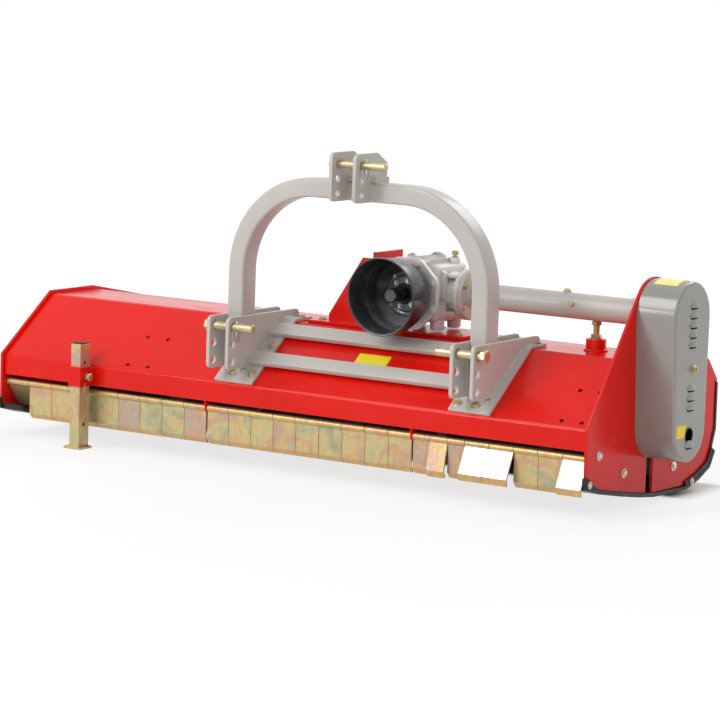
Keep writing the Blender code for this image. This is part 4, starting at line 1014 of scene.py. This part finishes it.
@dataclass
class Hitch:
    """Arch, brackets, cross bars and pins of the three-point hitch."""

    half: float = 0.364
    tube: float = 0.048
    deep: float = 0.060
    front: float = 0.022
    top: float = 0.755
    radius: float = 0.250
    corner: float = 0.007
    plate: float = 0.0086
    cheek_in: float = 0.3297
    cheek_out: float = 0.3983
    pin_y: float = -0.028
    pin_z: float = 0.366
    bars: tuple[tuple[str, float], ...] = (("crossbar_lower", 0.0665), ("crossbar_upper", 0.1745))
    bar_wide: float = 0.040
    bar_thick: float = 0.014
    foot_z: float = 0.20
    bolt: tuple[float, float] = (0.0085, 0.0065)
    slope_bolts: Pairs = (
        (-0.360, 0.034), (-0.302, 0.034), (-0.302, 0.142), (0.317, 0.026), (0.370, 0.026),
        (0.322, 0.142),
    )
    top_bolts: Pairs = ((-0.301, 0.232), (0.313, 0.232))

    def build(self) -> None:
        """Make every piece of the hitch."""
        self.arch()
        for side in ("left", "right"):
            refined(f"{side}_bracket", f"hitch_bracket_{side}", GREY, 0.0014)
        outline = rounded(self.bar_wide, self.bar_thick, 0.0016, 3)
        reach = self.cheek_in - SEAT
        for name, start in self.bars:
            middle = SLOPE.at(0.0, start + self.bar_wide / 2, self.plate + self.bar_thick / 2)
            bar = slab(outline, middle, SLOPE.up, SLOPE.normal, -reach, reach)
            put(name + "_bar", bar, GREY, stands_for=(name,))
        self.bolts()
        self.welds()
        self.pins()

    def arch(self) -> None:
        """A bent box tube: a rounded rectangle carried up a leg, over and down."""
        reach = self.radius - self.tube / 2
        centre_x, centre_z = self.half + self.tube / 2 - self.radius, self.top - self.radius
        left = arc((-centre_x, centre_z), reach, 180, 90, 20)
        right = arc((centre_x, centre_z), reach, 90, 0, 20)
        feet = [np.array(((side * self.half, self.foot_z),)) for side in (-1, 1)]
        flat = np.concatenate((feet[0], left, right, feet[1]))
        middle_y = np.full(len(flat), self.front + self.deep / 2)
        path = np.column_stack((flat[:, 0], middle_y, flat[:, 1]))
        tube = sweep(rounded(self.tube, self.deep, self.corner), path, Y_AXIS)

        def to_slope(points: np.ndarray) -> np.ndarray:
            """Drop the lowest points onto the brackets' base plates."""
            foot = SLOPE.height(points[:, 1], self.plate)
            low = points[:, 2] < self.foot_z + 0.01
            points[low, 2] = foot[low]
            return points

        put("arch_tube", tube.cut_to(to_slope), GREY, stands_for=("hitch_arch",))

    def bolts(self) -> None:
        """Bolts that hold the brackets' base plates to the deck."""
        heads = []
        for number, (x, along) in enumerate(self.slope_bolts):
            at = SLOPE.at(x, along, self.plate)
            heads.append(hex_head(at, SLOPE.normal, *self.bolt, 23.0 * number))
        for x, y in self.top_bolts:
            heads.append(hex_head((x, y, DECK_TOP + self.plate), Z_AXIS, *self.bolt, 40.0 * x))
        put("bracket_bolts", total(heads), BOLT_GOLD, tint=0.25)

    def welds(self) -> None:
        """Beads round the arch feet, along the cheeks and at the ends of the bars."""
        beads = []
        rear = self.front + self.deep
        lift = self.plate + 0.0008
        for side in (-1, 1):
            low, high = side * (self.half - self.tube / 2), side * (self.half + self.tube / 2)
            for y in (self.front - 0.0005, rear + 0.0005):
                z = float(SLOPE.height(np.array(y), lift))
                beads.append(bead((low, y, z), (high, y, z), 0.0034))
            for x in (side * (self.cheek_in - 0.0004), side * (self.cheek_out + 0.0004)):
                beads.append(bead(SLOPE.at(x, 0.052, lift), SLOPE.at(x, 0.235, lift), 0.0030))
            beads += self.bar_welds(side * (self.cheek_in - 0.0006), lift)
            for x in (low - side * 0.0002, high + side * 0.0002):
                for y, foot in ((rear + 0.0004, 0.30), (self.front - 0.0004, 0.262)):
                    beads.append(bead((x, y, foot), (x, y, 0.388)))
        put("hitch_welds", total(beads), GREY)

    def bar_welds(self, x: float, lift: float) -> list[Shell]:
        """Beads up both edges of each crossbar and over its top, where it meets a cheek."""
        beads = []
        for _, start in self.bars:
            for along in (start, start + self.bar_wide):
                ends = (SLOPE.at(x, along, above) for above in (lift, lift + self.bar_thick))
                beads.append(bead(*ends, 0.0026))
            ends = (SLOPE.at(x, start + in_by, lift + 0.0142) for in_by in (0.002, 0.038))
            beads.append(bead(*ends, 0.0026))
        return beads

    def pins(self) -> None:
        """The two lower link pins, each with a hexagon head, and the left one's lock pin."""
        for side, pulled, name in ((-1, 0.0, "lower_pin_left"), (1, 0.012, "lower_pin_right")):
            head = side * (self.cheek_out + SEAT + pulled)
            tip = side * (self.cheek_in - 0.063 + pulled)
            centre = (0.0, self.pin_y, self.pin_z)
            toward = np.sign(tip - head)
            shank = ((tip, 0.0088), (tip - toward * 0.0022, 0.011), (head - toward * 0.002, 0.011))
            crown = (
                (head, 0.0155), (head + side * 0.0012, 0.017), (head + side * 0.0122, 0.017),
                (head + side * 0.014, 0.0148),
            )
            shape = lathe(shank, centre, sides=36) + lathe(crown, centre, sides=6, twist=15.0)
            put(
                name + "_turned", shape, BOLT_GOLD, body=name, stands_for=(name,), bevel=0.0006,
                tint=0.1 * side,
            )
        lock = link_pin((-0.3185, self.pin_y, self.pin_z), (0.0, -0.12, -1.0), 0.0185)
        put("left_lock_pin", lock, STEEL, body="lower_pin_left")


@dataclass
class TopLink:
    """The upper clevis on the arch, its pin and lock pin."""

    plate: float = 0.040
    pin_y: float = -0.019
    pin_z: float = 0.800
    tip: float = 0.111

    def edge_weight(self, first: np.ndarray, last: np.ndarray) -> np.ndarray:
        """Full width on the plates' edges, none where the saddle runs into them."""
        middle = (first + last) / 2
        flat = np.abs(first[:, 0] - last[:, 0]) < 1e-5
        saddle = (middle[:, 1] > 0.0205) & (middle[:, 2] < 0.7705)
        return np.where(flat & ~saddle, 1.0, 0.0)

    def build(self) -> None:
        """Make the clevis, its welds, pin and lock pin."""
        refined("clevis_plates", "top_link_clevis", GREY, 0.0013, self.edge_weight)
        head = -self.plate - SEAT
        centre = (0.0, self.pin_y, self.pin_z)
        shank = ((self.tip, 0.0076), (self.tip - 0.002, 0.0095), (head + 0.002, 0.0095))
        crown = (
            (head, 0.0125), (head - 0.0012, 0.0135), (head - 0.0105, 0.0135),
            (head - 0.012, 0.0118),
        )
        shape = lathe(shank, centre, sides=32) + lathe(crown, centre, sides=32)
        pin = "top_link_pin"
        put("top_pin_turned", shape, BOLT_GOLD, body=pin, stands_for=(pin,), tint=-0.1)
        lock = link_pin((0.0515, self.pin_y, self.pin_z), (0.0, -0.10, -1.0), 0.0180)
        put("top_lock_pin", lock, STEEL, body=pin)
        beads = []
        for side in (-1, 1):
            for x in (side * (self.plate + 0.0006), side * 0.0294):
                beads.append(bead((x, 0.0215, 0.710), (x, 0.0215, 0.754)))
            for x, z in ((side * 0.0406, 0.7699), (side * 0.054, 0.7552)):
                beads.append(bead((x, 0.024, z), (x, 0.080, z)))
        put("clevis_welds", total(beads), GREY)


@dataclass
class Gearbox:
    """Cast bevel gearbox with its flanges, plugs and bolts."""

    centre: Spot = GEAR_CENTRE
    front: float = 0.107
    hub: float = 0.117
    output: float = 0.122
    side: float = 0.1137

    def spot(self, x: float, y: float, z: float) -> np.ndarray:
        """A point measured from the centre of the gearbox."""
        return np.array(self.centre) + (x, y, z)

    def build(self) -> None:
        """Make the casting and its fittings."""
        cast = [cushion_box(self.centre, (0.071, 0.076, 0.074))]

        def octagon(angle: np.ndarray) -> np.ndarray:
            """Share of the radius that eight flats leave at an angle."""
            local = (angle + np.pi / 8) % (np.pi / 4) - np.pi / 8
            return np.minimum(1.0, 0.945 / np.cos(local))

        flange = (
            (-self.front, 0.030), (-self.front, 0.0905), (-self.front, 0.094), (-0.1055, 0.095),
            (-0.0945, 0.095), (-0.0925, 0.093), (-0.0915, 0.040),
        )
        cast.append(lathe(flange, self.centre, Y_AXIS, 96, swell=octagon))
        neck = ((-0.092, 0.080), (-0.086, 0.0775), (-0.070, 0.0765), (-0.060, 0.074))
        cast.append(lathe(neck, self.centre, Y_AXIS, 64))
        hub = ((-self.hub, 0.020), (-self.hub, 0.0435), (0.0015 - self.hub, 0.045), (-0.106, 0.045))
        # Painted shade: the hub inside the guard is given the dark steel colour to stand in for the
        # shade there.
        put("input_hub", lathe(hub, self.centre, Y_AXIS, 64), DARK_STEEL_AND_SHADE)
        for way, reach in ((1, self.output), (-1, self.side)):
            ring = [
                (0.060, 0.058), (0.078, 0.052), (0.086, 0.0485), (reach - 0.017, 0.048),
                (reach - 0.014, 0.050), (reach - 0.0135, 0.0645), (reach - 0.012, 0.065),
                (reach - 0.001, 0.065), (reach, 0.064),
            ]
            cast.append(lathe([(way * x, r) for x, r in ring], self.centre, X_AXIS, 64))
        cast += self.ribs() + self.bosses()
        put("gearbox_casting", total(cast), SILVER, stands_for=("gearbox_housing",), bevel=0.0012)
        self.fittings()

    def ribs(self) -> list[Shell]:
        """Cast ribs: tapered blades from the neck to the corners and over the top."""
        shells = []
        blade = np.array(((0.070, -0.0935), (0.090, -0.0935), (0.0835, -0.078), (0.072, -0.062)))
        for angle in range(0, 360, 45):
            turn = math.radians(angle + 22.5)
            out = (math.cos(turn), 0.0, math.sin(turn))
            shells.append(slab(blade, self.centre, out, Y_AXIS, -0.0032, 0.0032))
        over = ((-0.072, 0.070), (0.070, 0.070), (0.070, 0.084), (-0.060, 0.086), (-0.072, 0.080))
        flat = ((0.044, -0.0462), (0.106, -0.0462), (0.084, 0.042), (0.044, 0.042))
        end = ((0.070, -0.060), (0.0835, -0.054), (0.0835, 0.054), (0.070, 0.060))
        for way in (-1, 1):
            for edge, at, right, up, half in (
                (over, (way * 0.036, 0, 0), Y_AXIS, Z_AXIS, 0.004),
                (flat, (0, 0, way * 0.046), X_AXIS, Y_AXIS, 0.0035),
                (end, (0, way * 0.052, 0), X_AXIS, Z_AXIS, 0.005),
            ):
                shells.append(slab(np.array(edge), self.spot(*at), right, up, -half, half))
        return shells

    def bosses(self) -> list[Shell]:
        """Round bosses on the top and feet underneath."""
        shells = []
        for x, y, radius, high in (
            (-0.030, -0.040, 0.014, 0.090), (0.012, 0.014, 0.022, 0.091),
            (0.052, 0.034, 0.0125, 0.086),
        ):
            profile = ((0.066, radius * 1.15), (high - 0.0015, radius), (high, radius * 0.93))
            shells.append(lathe(profile, self.spot(x, y, 0), Z_AXIS, 28))
        foot = ((-0.093, 0.0155), (-0.0915, 0.017), (-0.066, 0.019))
        for x in (-0.052, 0.052):
            shells += [lathe(foot, self.spot(x, y, 0), Z_AXIS, 24) for y in (-0.040, 0.040)]
        return shells

    def fittings(self) -> None:
        """Bolts on each flange, plugs and the breather."""
        front, rear = self.spot(0, -self.front, 0), self.spot(0, -0.0920, 0)
        output = self.spot(self.output - 0.0137, 0, 0)
        heads = bolt_circle(front, (0, -1, 0), 0.0825, (8, 22.5), (0.0065, 0.0065), 15.0)
        heads += bolt_circle(rear, Y_AXIS, 0.0825, (8, 22.5), (0.0060, 0.006), 21.0, nut)
        heads += bolt_circle(output, (-1, 0, 0), 0.0560, (6, 30), (0.0058, 0.0060), 17.0)
        put("flange_bolts", total(heads), SILVER)
        filler = hex_head(self.spot(0.012, 0.014, 0.0908), Z_AXIS, 0.0120, 0.007, 10.0)
        level = hex_head(self.spot(-0.030, -0.040, 0.0898), Z_AXIS, 0.0080, 0.006, 30.0)
        put("filler_plugs", filler + level, STEEL)
        base = self.spot(0.052, 0.034, 0.0)
        stem = lathe(((0.085, 0.0050), (0.092, 0.0050)), base, Z_AXIS, 16)
        cap = lathe(((0.0925, 0.0088), (0.101, 0.0088), (0.103, 0.0075)), base, Z_AXIS, 6)
        collar = lathe(((0.084, 0.009), (0.089, 0.009)), base, Z_AXIS, 6)
        put("breather_plug", stem + cap + collar, BOLT_GOLD, tint=0.6)
        face = self.spot(0, -self.hub, 0)
        heads = bolt_circle(face, (0, -1, 0), 0.0345, (6, 12), (0.0052, 0.006), 33.0)
        put("hub_bolts", total(heads), STEEL)
        seal = (
            (-0.1182, 0.0186), (-0.1190, 0.0196), (-0.1190, 0.0262), (-0.1182, 0.0272),
            (-0.1164, 0.0272), (-0.1164, 0.0186),
        )
        put("shaft_seal", lathe(seal, self.centre, Y_AXIS, 48, ring=True), RUBBER)


@dataclass
class Guard:
    """The black plastic cup round the splined input shaft."""

    centre: Spot = GEAR_CENTRE
    back: float = -0.1073
    hole: float = 0.046
    sides: int = 96
    # How strongly each ring of the inner wall gets the painted grey sheen that stands in for a
    # reflection.
    dust_and_sheen: tuple[float, ...] = (
        0.5, 0.5, 0.12, 0.2, 0.35, 0.6, 0.45, 0.9, 0.9, 0.9, 0.3, 0.3, 0.2, 0.0,
    )

    def build(self) -> None:
        """Make the cup with a painted grey sheen, standing in for a reflection, on its inner wall
        low down, its screws, and coat the shafts.
        """
        root = np.array(self.centre) + (0, self.back, 0)
        outer = (
            (0.0, self.hole), (0.0, 0.060), (0.002, 0.0625), (0.017, 0.080), (0.020, 0.0825),
            (0.024, 0.0838), (0.050, 0.0905), (0.0535, 0.0928), (0.056, 0.0935), (0.108, 0.0962),
            (0.111, 0.0985), (0.1145, 0.0990), (0.1172, 0.0983), (0.118, 0.0965),
        )
        inner = (
            (0.1172, 0.0945), (0.112, 0.0925), (0.060, 0.0895), (0.057, 0.0885), (0.054, 0.0860),
            (0.050, 0.0850), (0.026, 0.0795), (0.022, 0.0775), (0.019, 0.0750), (0.006, 0.0590),
            (0.004, 0.0565), (0.004, 0.0475), (0.003, self.hole),
        )
        profile = [(-length, radius) for length, radius in outer + inner]
        cup = lathe(profile, root, Y_AXIS, self.sides, ring=True)
        # Painted reflection: the grey sheen is strongest at the bottom of the inner wall.
        low = np.clip(-np.sin(2 * np.pi * np.arange(self.sides) / self.sides), 0.0, 1.0) ** 1.5
        step = np.concatenate((np.zeros(len(outer) - 1), self.dust_and_sheen))
        painted_sheen = {"painted_sheen": np.outer(step, low).ravel()}
        put("input_guard", cup, PLASTIC, stands_for=("pto_guard",), marks=painted_sheen)
        floor = root - (0, 0.004, 0)
        heads = bolt_circle(floor, (0, -1, 0), 0.0520, (4, 38), (0.0038, 0.0045), 25.0)
        put("guard_screws", total(heads), STEEL)
        coat(DARK_STEEL_AND_SHADE, "input_shaft")
        coat(STEEL, "drive_shaft")


@dataclass
class GearboxStand:
    """Base, side plate and gusset that carry the gearbox."""

    face: float = -0.0650
    plate: float = 0.008
    base_z: float = 0.3733
    base_bolts: Pairs = (
        (-0.240, 0.240), (-0.240, 0.325), (0.185, 0.325), (0.185, 0.226), (0.060, 0.335),
        (-0.130, 0.335),
    )

    def build(self) -> None:
        """Make the stand, its bolts and welds."""
        refined("gearbox_stand_plates", "gearbox_stand", RED, 0.0014)
        heads = []
        for number, (x, y) in enumerate(self.base_bolts):
            heads.append(hex_head((x, y, self.base_z), Z_AXIS, 0.0080, 0.0065, 31.0 * number))
        middle = (self.face - self.plate, SHAFT_Y, SHAFT_Z)
        heads += bolt_circle(middle, (-1, 0, 0), 0.0560, (6, 30), (0.0075, 0.0065), 19.0)
        put("stand_bolts", total(heads), BOLT_GOLD, tint=0.2)
        z = self.base_z + 0.0004
        left, right = self.face - self.plate - 0.0004, self.face + 0.0006
        beads = [
            bead((left, 0.230, z), (left, 0.338, z), 0.0030),
            bead((right, 0.214, z), (right, 0.338, z), 0.0030),
            bead((left - 0.004, 0.2186, z), (left - 0.131, 0.2186, z)),
            bead((left - 0.004, 0.2274, z), (left - 0.131, 0.2274, z)),
            bead((left, 0.2274, z + 0.004), (left, 0.2274, 0.543), 0.0026),
        ]
        put("stand_welds", total(beads), RED)


@dataclass
class DriveTube:
    """Tube round the cross shaft, and the screw jack that holds it up."""

    centre: Spot = (0.0, SHAFT_Y, SHAFT_Z)
    start: float = 0.1713
    end: float = 0.6897
    radius: float = 0.032
    flange: float = 0.065
    boss_x: float = 0.453
    jack_x: float = 0.540
    boss_top: float = 0.394

    def build(self) -> None:
        """Make the tube, its flange bolts and fittings, and the jack."""
        s, e, r = self.start, self.end, self.radius
        profile = (
            (s, 0.027), (s, 0.064), (s + 0.001, self.flange), (s + 0.011, self.flange),
            (s + 0.012, 0.064), (s + 0.0125, 0.036), (s + 0.0155, r), (e - 0.051, r),
            (e - 0.0505, 0.0345), (e - 0.001, 0.0345), (e, 0.034), (e, 0.027),
        )
        tube = lathe(profile, self.centre, sides=64, ring=True)
        put("shaft_tube", tube, GREY, stands_for=("drive_tube",), bevel=0.0005)
        middle = (s + 0.012, SHAFT_Y, SHAFT_Z)
        heads = bolt_circle(middle, X_AXIS, 0.0535, (6, 30), (0.0070, 0.0060), 27.0)
        put("tube_flange_bolts", total(heads), BOLT_GOLD, tint=0.4)
        boss = ((0.030, 0.0105), (0.0355, 0.0100), (0.0362, 0.0092))
        put("tube_boss", lathe(boss, (self.boss_x, SHAFT_Y, SHAFT_Z), Z_AXIS, 24), GREY)
        plug = hex_head((self.boss_x, SHAFT_Y, 0.5058), Z_AXIS, 0.0068, 0.0055, 14.0)
        socket = ((0.030, 0.0062), (0.0375, 0.0062), (0.0385, 0.0054))
        shell = plug + lathe(socket, (0.485, SHAFT_Y, SHAFT_Z), (0, -1, 0.25), 20)
        put("tube_plugs", shell, BOLT_GOLD, tint=0.1)
        self.jack()

    def jack(self) -> None:
        """A threaded rod, its radius a saw of the height, with nuts, a washer and its weld."""
        foot = (self.jack_x, SHAFT_Y, 0.0)
        top = SHAFT_Z - self.radius - SEAT
        low = self.boss_top + SEAT
        height = np.linspace(low - 0.004, top - 0.003, 150)
        thread = 0.0076 + 0.0008 * np.abs((height / 0.00175) % 1.0 * 2 - 1)
        shells = [
            lathe(((low, 0.0165), (low + 0.002, 0.0165)), foot, Z_AXIS, 28),
            lathe(np.column_stack((height, thread)), foot, Z_AXIS, 24),
            lathe(((top - 0.002, 0.0105), (top, 0.0105)), foot, Z_AXIS, 24),
        ]
        hexagon = ((0.0, 0.0118), (0.0012, 0.0135), (0.0078, 0.0135), (0.009, 0.0118))
        for start, turn in ((low + 0.002, 8.0), (top - 0.0095, 24.0)):
            profile = [(start + length, radius) for length, radius in hexagon]
            shells.append(lathe(profile, foot, Z_AXIS, 6, twist=turn))
        put("jack_rod", total(shells), BOLT_GOLD, stands_for=("jack_screw",), tint=-0.15)
        steps = 72
        ring = np.column_stack((circle(0.0268, steps), np.full(steps, 0.3662))) + foot
        put("jack_weld", sweep(circle(0.0038, 8), ring, Z_AXIS, loop=True), RED)


@dataclass
class Flaps:
    """The row of swinging flaps on their rod, along the front of the deck."""

    left: float = -1.098
    width: float = 1.788
    groups: tuple[tuple[int, float], ...] = (
        (4, 0.17025), (5, 0.20017), (9, 0.35123), (3, 0.08613),
    )
    last: int = 5
    gap: float = 0.001
    tab: float = 0.004
    rod_y: float = 0.016
    rod_z: float = 0.144
    rod_radius: float = 0.005
    rod_ends: tuple[float, float] = (-1.1037, 0.6957)
    eye: float = 0.0085
    thick: float = 0.005
    drop: float = 0.078
    lip: float = 0.018
    lean: float = 39.0
    hanging: tuple[tuple[int, float], ...] = (
        (1, 34.0), (20, -12.0), (22, -25.0), (23, -25.0), (26, -25.0),
    )
    # Flaps whose front face gets a painted near-white reflection.
    glare_flaps: tuple[int, ...] = (22, 23, 26)

    def outline(self) -> np.ndarray:
        """Section of a flap about its rod: lip, blade, and an eye curled round the rod.

        The eye is an arc of the outer radius one way and of the inner radius back.
        """
        half, inner = self.thick / 2, self.rod_radius + 0.0006
        open_angle = math.degrees(math.asin(half / self.eye))
        lean = math.radians(self.lean)
        turn = half * math.tan(lean / 2)
        ahead, down = math.sin(lean) * self.lip, math.cos(lean) * self.lip
        tip = np.array((ahead - half, -self.drop - turn - down))
        back = tip + self.thick * np.array((math.cos(lean), math.sin(lean)))
        outer = arc((0.0, 0.0), self.eye, 270 - open_angle, -58, 24)
        hollow = arc((0.0, 0.0), inner, -58, 286, 24)
        root = -math.sqrt(self.eye ** 2 - half ** 2)
        blade = np.array(((half, root), (half, turn - self.drop), back, tip))
        front = np.array(((-half, -self.drop - turn),))
        return np.concatenate((outer, hollow, blade, front))

    def places(self) -> np.ndarray:
        """Left and right limits of every flap, as an array of pairs."""
        rest = 1.0 - sum(share for _, share in self.groups)
        groups = (*self.groups, (self.last, rest))
        pitches = np.concatenate([np.full(count, share / count) for count, share in groups])
        edges = self.left + self.width * np.concatenate(([0.0], np.cumsum(pitches)))
        limits = np.stack((edges[:-1], edges[1:]), axis=-1)
        for tab in np.cumsum([share for _, share in self.groups[:3]])[1:] * self.width + self.left:
            limits[np.abs(limits[:, 0] - tab) < 1e-4, 0] += self.tab / 2
            limits[np.abs(limits[:, 1] - tab) < 1e-4, 1] -= self.tab / 2
        return limits + np.array((self.gap / 2, -self.gap / 2))

    def build(self) -> None:
        """Make each flap on its own body, and the rod."""
        rod = (0.0, self.rod_y, self.rod_z)
        tilt = dict(self.hanging)
        tints = np.random.default_rng(11).uniform(-0.55, 0.55, 26)
        outline = self.outline()
        # Painted light on single faces: a golden highlight along the eye curl and the lip, and a
        # near-white reflection on the front face of the swung-out flaps.
        bend_highlight, glare = np.zeros(len(outline)), np.zeros(len(outline))
        bend_highlight[:18], bend_highlight[-2], glare[-1] = 0.40, 0.50, 1.0
        for number, (low, high) in enumerate(self.places(), start=1):
            blade = slab(outline, rod, Y_AXIS, Z_AXIS, low, high)
            blade = blade.turned(tilt.get(number, 0.0), "X", rod)
            node = f"flap_{number:02d}"
            marks = {"bend_highlight": bend_highlight, "glare": glare * (number in self.glare_flaps)}
            put(
                node + "_blade", blade, GOLD, body=node, stands_for=(node,), bevel=0.0007,
                tint=float(tints[number - 1]), marks=marks,
            )
        ends = [(x, self.rod_radius) for x in self.rod_ends]
        put("hanging_rod", lathe(ends, rod, sides=24), BOLT_GOLD, stands_for=("flap_rod",))


@dataclass
class ParkingStand:
    """The socket on the deck, the sliding leg with its foot and cap, and the clamp screw."""

    x: float = -0.8205
    y: float = -0.0253
    top: float = 0.276
    sleeve: float = 0.040
    screw_z: float = 0.190

    def build(self) -> None:
        """Make the stand."""
        refined("stand_sleeve", "stand_socket", RED, 0.0012)
        refined("stand_tube", "stand_leg", GOLD, 0.0009, body="stand_leg", tint=0.15)
        end = (self.x, self.y, self.top)
        cap = slab(rounded(0.0312, 0.0412, 0.003), end, X_AXIS, Y_AXIS, 0.0002, 0.0040)
        plug = slab(rounded(0.0245, 0.0345, 0.002), end, X_AXIS, Y_AXIS, -0.014, 0.001)
        put("stand_cap", cap + plug, PLASTIC, body="stand_leg", bevel=0.001)
        wall = self.sleeve / 2
        stem = ((0.0158, 0.0060), (wall + 0.006, 0.0060))
        head = (
            (wall + 0.004, 0.0088), (wall + 0.0052, 0.010), (wall + 0.0138, 0.010),
            (wall + 0.015, 0.0088),
        )
        locknut = ((wall + 0.0004, 0.0092), (wall + 0.0014, 0.0100), (wall + 0.0036, 0.0100))
        centre = (self.x, self.y, self.screw_z)
        screw = lathe(stem, centre, sides=20) + lathe(head, centre, sides=6, twist=10)
        screw = screw + lathe(locknut, centre, sides=6, twist=25)
        put("clamp_screw", screw, BOLT_GOLD, stands_for=("stand_screw",), tint=0.3)
        edges = [self.x + side * (wall + 0.0002) for side in (-1, 1)]
        beads = [bead((x, -0.0006, 0.166), (x, -0.0006, 0.214), 0.0026) for x in edges]
        put("socket_welds", total(beads), RED)
        strap = np.array(((-0.0012, 0.0), (0.0012, 0.0), (0.0012, 0.026), (-0.0012, 0.026)))
        straps = [
            slab(strap, (self.x + x, y, 0.149), X_AXIS, (0.18, 0, 1), -0.0008, 0.0008)
            for x, y in ((-0.0250, -0.044), (0.0215, -0.036))
        ]
        put("socket_straps", total(straps), BOLT_GOLD)


@dataclass
class Underside:
    """What turns under the deck, and what carries it."""

    edge: float = 0.0012

    def build(self) -> None:
        """Coat the carried nodes and refine the roller's arms."""
        for side in ("left", "right"):
            refined(f"{side}_roller_arm", f"roller_arm_{side}", RED, self.edge)
        coat(BLACK, "rotor", "rear_roller")
        coat(SILVER, "drive_bearing", "rotor_bearing_left", "rotor_bearing_right")
        coat(RUBBER, "drive_belt")


@dataclass
class Studio:
    """Camera at the photograph's angle, pale floor, soft lamps and a white surround."""

    azimuth: float = 33.43
    elevation: float = 6.02
    roll: float = 1.91
    distance: float = 8.0029
    focal: float = 3258.5
    middle: tuple[float, float] = (377.4, 264.9)
    frame_px: float = 720.0
    target: Spot = (0.0811, 0.0, 0.5576)
    sky: float = 0.52
    floor_span: float = 30.0
    lamps: tuple[tuple[str, Triple, float, float], ...] = (
        ("key", (-2.6, -4.2, 4.6), 3.2, 150.0), ("fill", (4.4, -2.6, 2.6), 2.6, 20.0),
        ("back", (0.5, 4.2, 4.4), 3.0, 110.0), ("strip", (-1.85, -4.05, 1.7), 0.7, 26.0),
    )

    def build(self) -> None:
        """Make the camera, the floor and the light."""
        self.camera()
        self.floor()
        self.world()
        for lamp in self.lamps:
            self.lamp(*lamp)
        bpy.context.scene.view_settings.view_transform = "Standard"

    def camera(self) -> None:
        """Look from the azimuth and elevation, rolled, with the frame shifted a little."""
        az, el, roll = (math.radians(a) for a in (self.azimuth, self.elevation, self.roll))
        target = Vector(self.target) + Vector(SHIFT)
        back = Vector((math.sin(az) * math.cos(el), -math.cos(az) * math.cos(el), math.sin(el)))
        right = (-back).cross(Vector(Z_AXIS)).normalized()
        up = right.cross(-back)
        turned = right * math.cos(roll) + up * math.sin(roll)
        raised = up * math.cos(roll) - right * math.sin(roll)
        matrix = Matrix((turned, raised, back)).transposed().to_4x4()
        matrix.translation = target + back * self.distance
        data = bpy.data.cameras.new("camera")
        data.sensor_width = 36.0
        data.lens = self.focal * 36.0 / self.frame_px
        data.shift_x = (self.frame_px / 2 - self.middle[0]) / self.frame_px
        data.shift_y = (self.middle[1] - self.frame_px / 2) / self.frame_px
        data.clip_end = 200.0
        camera = bpy.data.objects.new("camera", data)
        camera.matrix_world = matrix
        bpy.context.scene.collection.objects.link(camera)
        bpy.context.scene.camera = camera

    def floor(self) -> None:
        """A pale round floor that reads white and keeps the shadow, in full under the deck."""
        points = self.floor_span * np.column_stack((circle(1.0, 64), np.zeros(64)))
        mesh = bpy.data.meshes.new("floor")
        mesh.from_pydata(points, [], [list(range(64))])
        floor = bpy.data.objects.new("floor", mesh)
        bpy.context.scene.collection.objects.link(floor)
        graph = Graph(bpy.data.materials.new("floor_paint"))
        grain = graph.noise(graph.place(), 3.0, 2.0)
        tone = graph.mix(grain, (0.80, 0.80, 0.80), (0.84, 0.84, 0.835))
        matt = graph.node("ShaderNodeBsdfDiffuse", None, {"Color": tone})
        white = {"Color": (1.0, 1.0, 1.0, 1.0), "Strength": 1.06}
        glow = graph.node("ShaderNodeEmission", None, white)
        place = {0: graph.place()}
        across, along = (graph.node("ShaderNodeSeparateXYZ", None, place, out=k) for k in (0, 1))
        deep = along.step(0.11, 0.16) * along.step(0.40, 0.36)
        covered = across.math("ABSOLUTE").step(0.92, 0.82) * deep
        away = (across * across + along * along).step(1.5, 9.0)
        share = graph.seen_or_glossy() * (away * 0.27 + 0.73) * (1.0 - covered)
        mixed = graph.node("ShaderNodeMixShader", None, {0: share, 1: matt, 2: glow})
        mesh.materials.append(graph.close(mixed))

    def world(self) -> None:
        """An even sky; seen directly or in a shiny surface it is plain white."""
        graph = Graph(bpy.data.worlds.new("surround"))
        level = graph.seen_or_glossy() * (1.0 - self.sky) + self.sky
        white = {"Color": (1.0, 1.0, 1.0, 1.0), "Strength": level}
        bpy.context.scene.world = graph.close(graph.node("ShaderNodeBackground", None, white))

    def lamp(self, name: str, place: Triple, size: float, power: float) -> None:
        """A square soft lamp aimed at the middle of the machine."""
        data = bpy.data.lights.new(name, "AREA")
        data.size = size
        data.energy = power
        lamp = bpy.data.objects.new(name, data)
        lamp.location = place
        aim = Vector((0.0, 0.0, 0.3)) - Vector(place)
        lamp.rotation_euler = aim.to_track_quat("-Z", "Y").to_euler()
        bpy.context.scene.collection.objects.link(lamp)


def main() -> None:
    """Build the machine from the deck up, then the studio round it."""
    logging.basicConfig(level=logging.INFO, format="%(name)s: %(message)s")
    parts = (
        Deck(), Underside(), Flaps(), BeltCover(), Hitch(), TopLink(), Gearbox(), Guard(),
        GearboxStand(), DriveTube(), ParkingStand(), Studio(),
    )
    for part in parts:
        LOG.info("building %s", type(part).__name__)
        part.build()


if __name__ == "__main__":
    main()
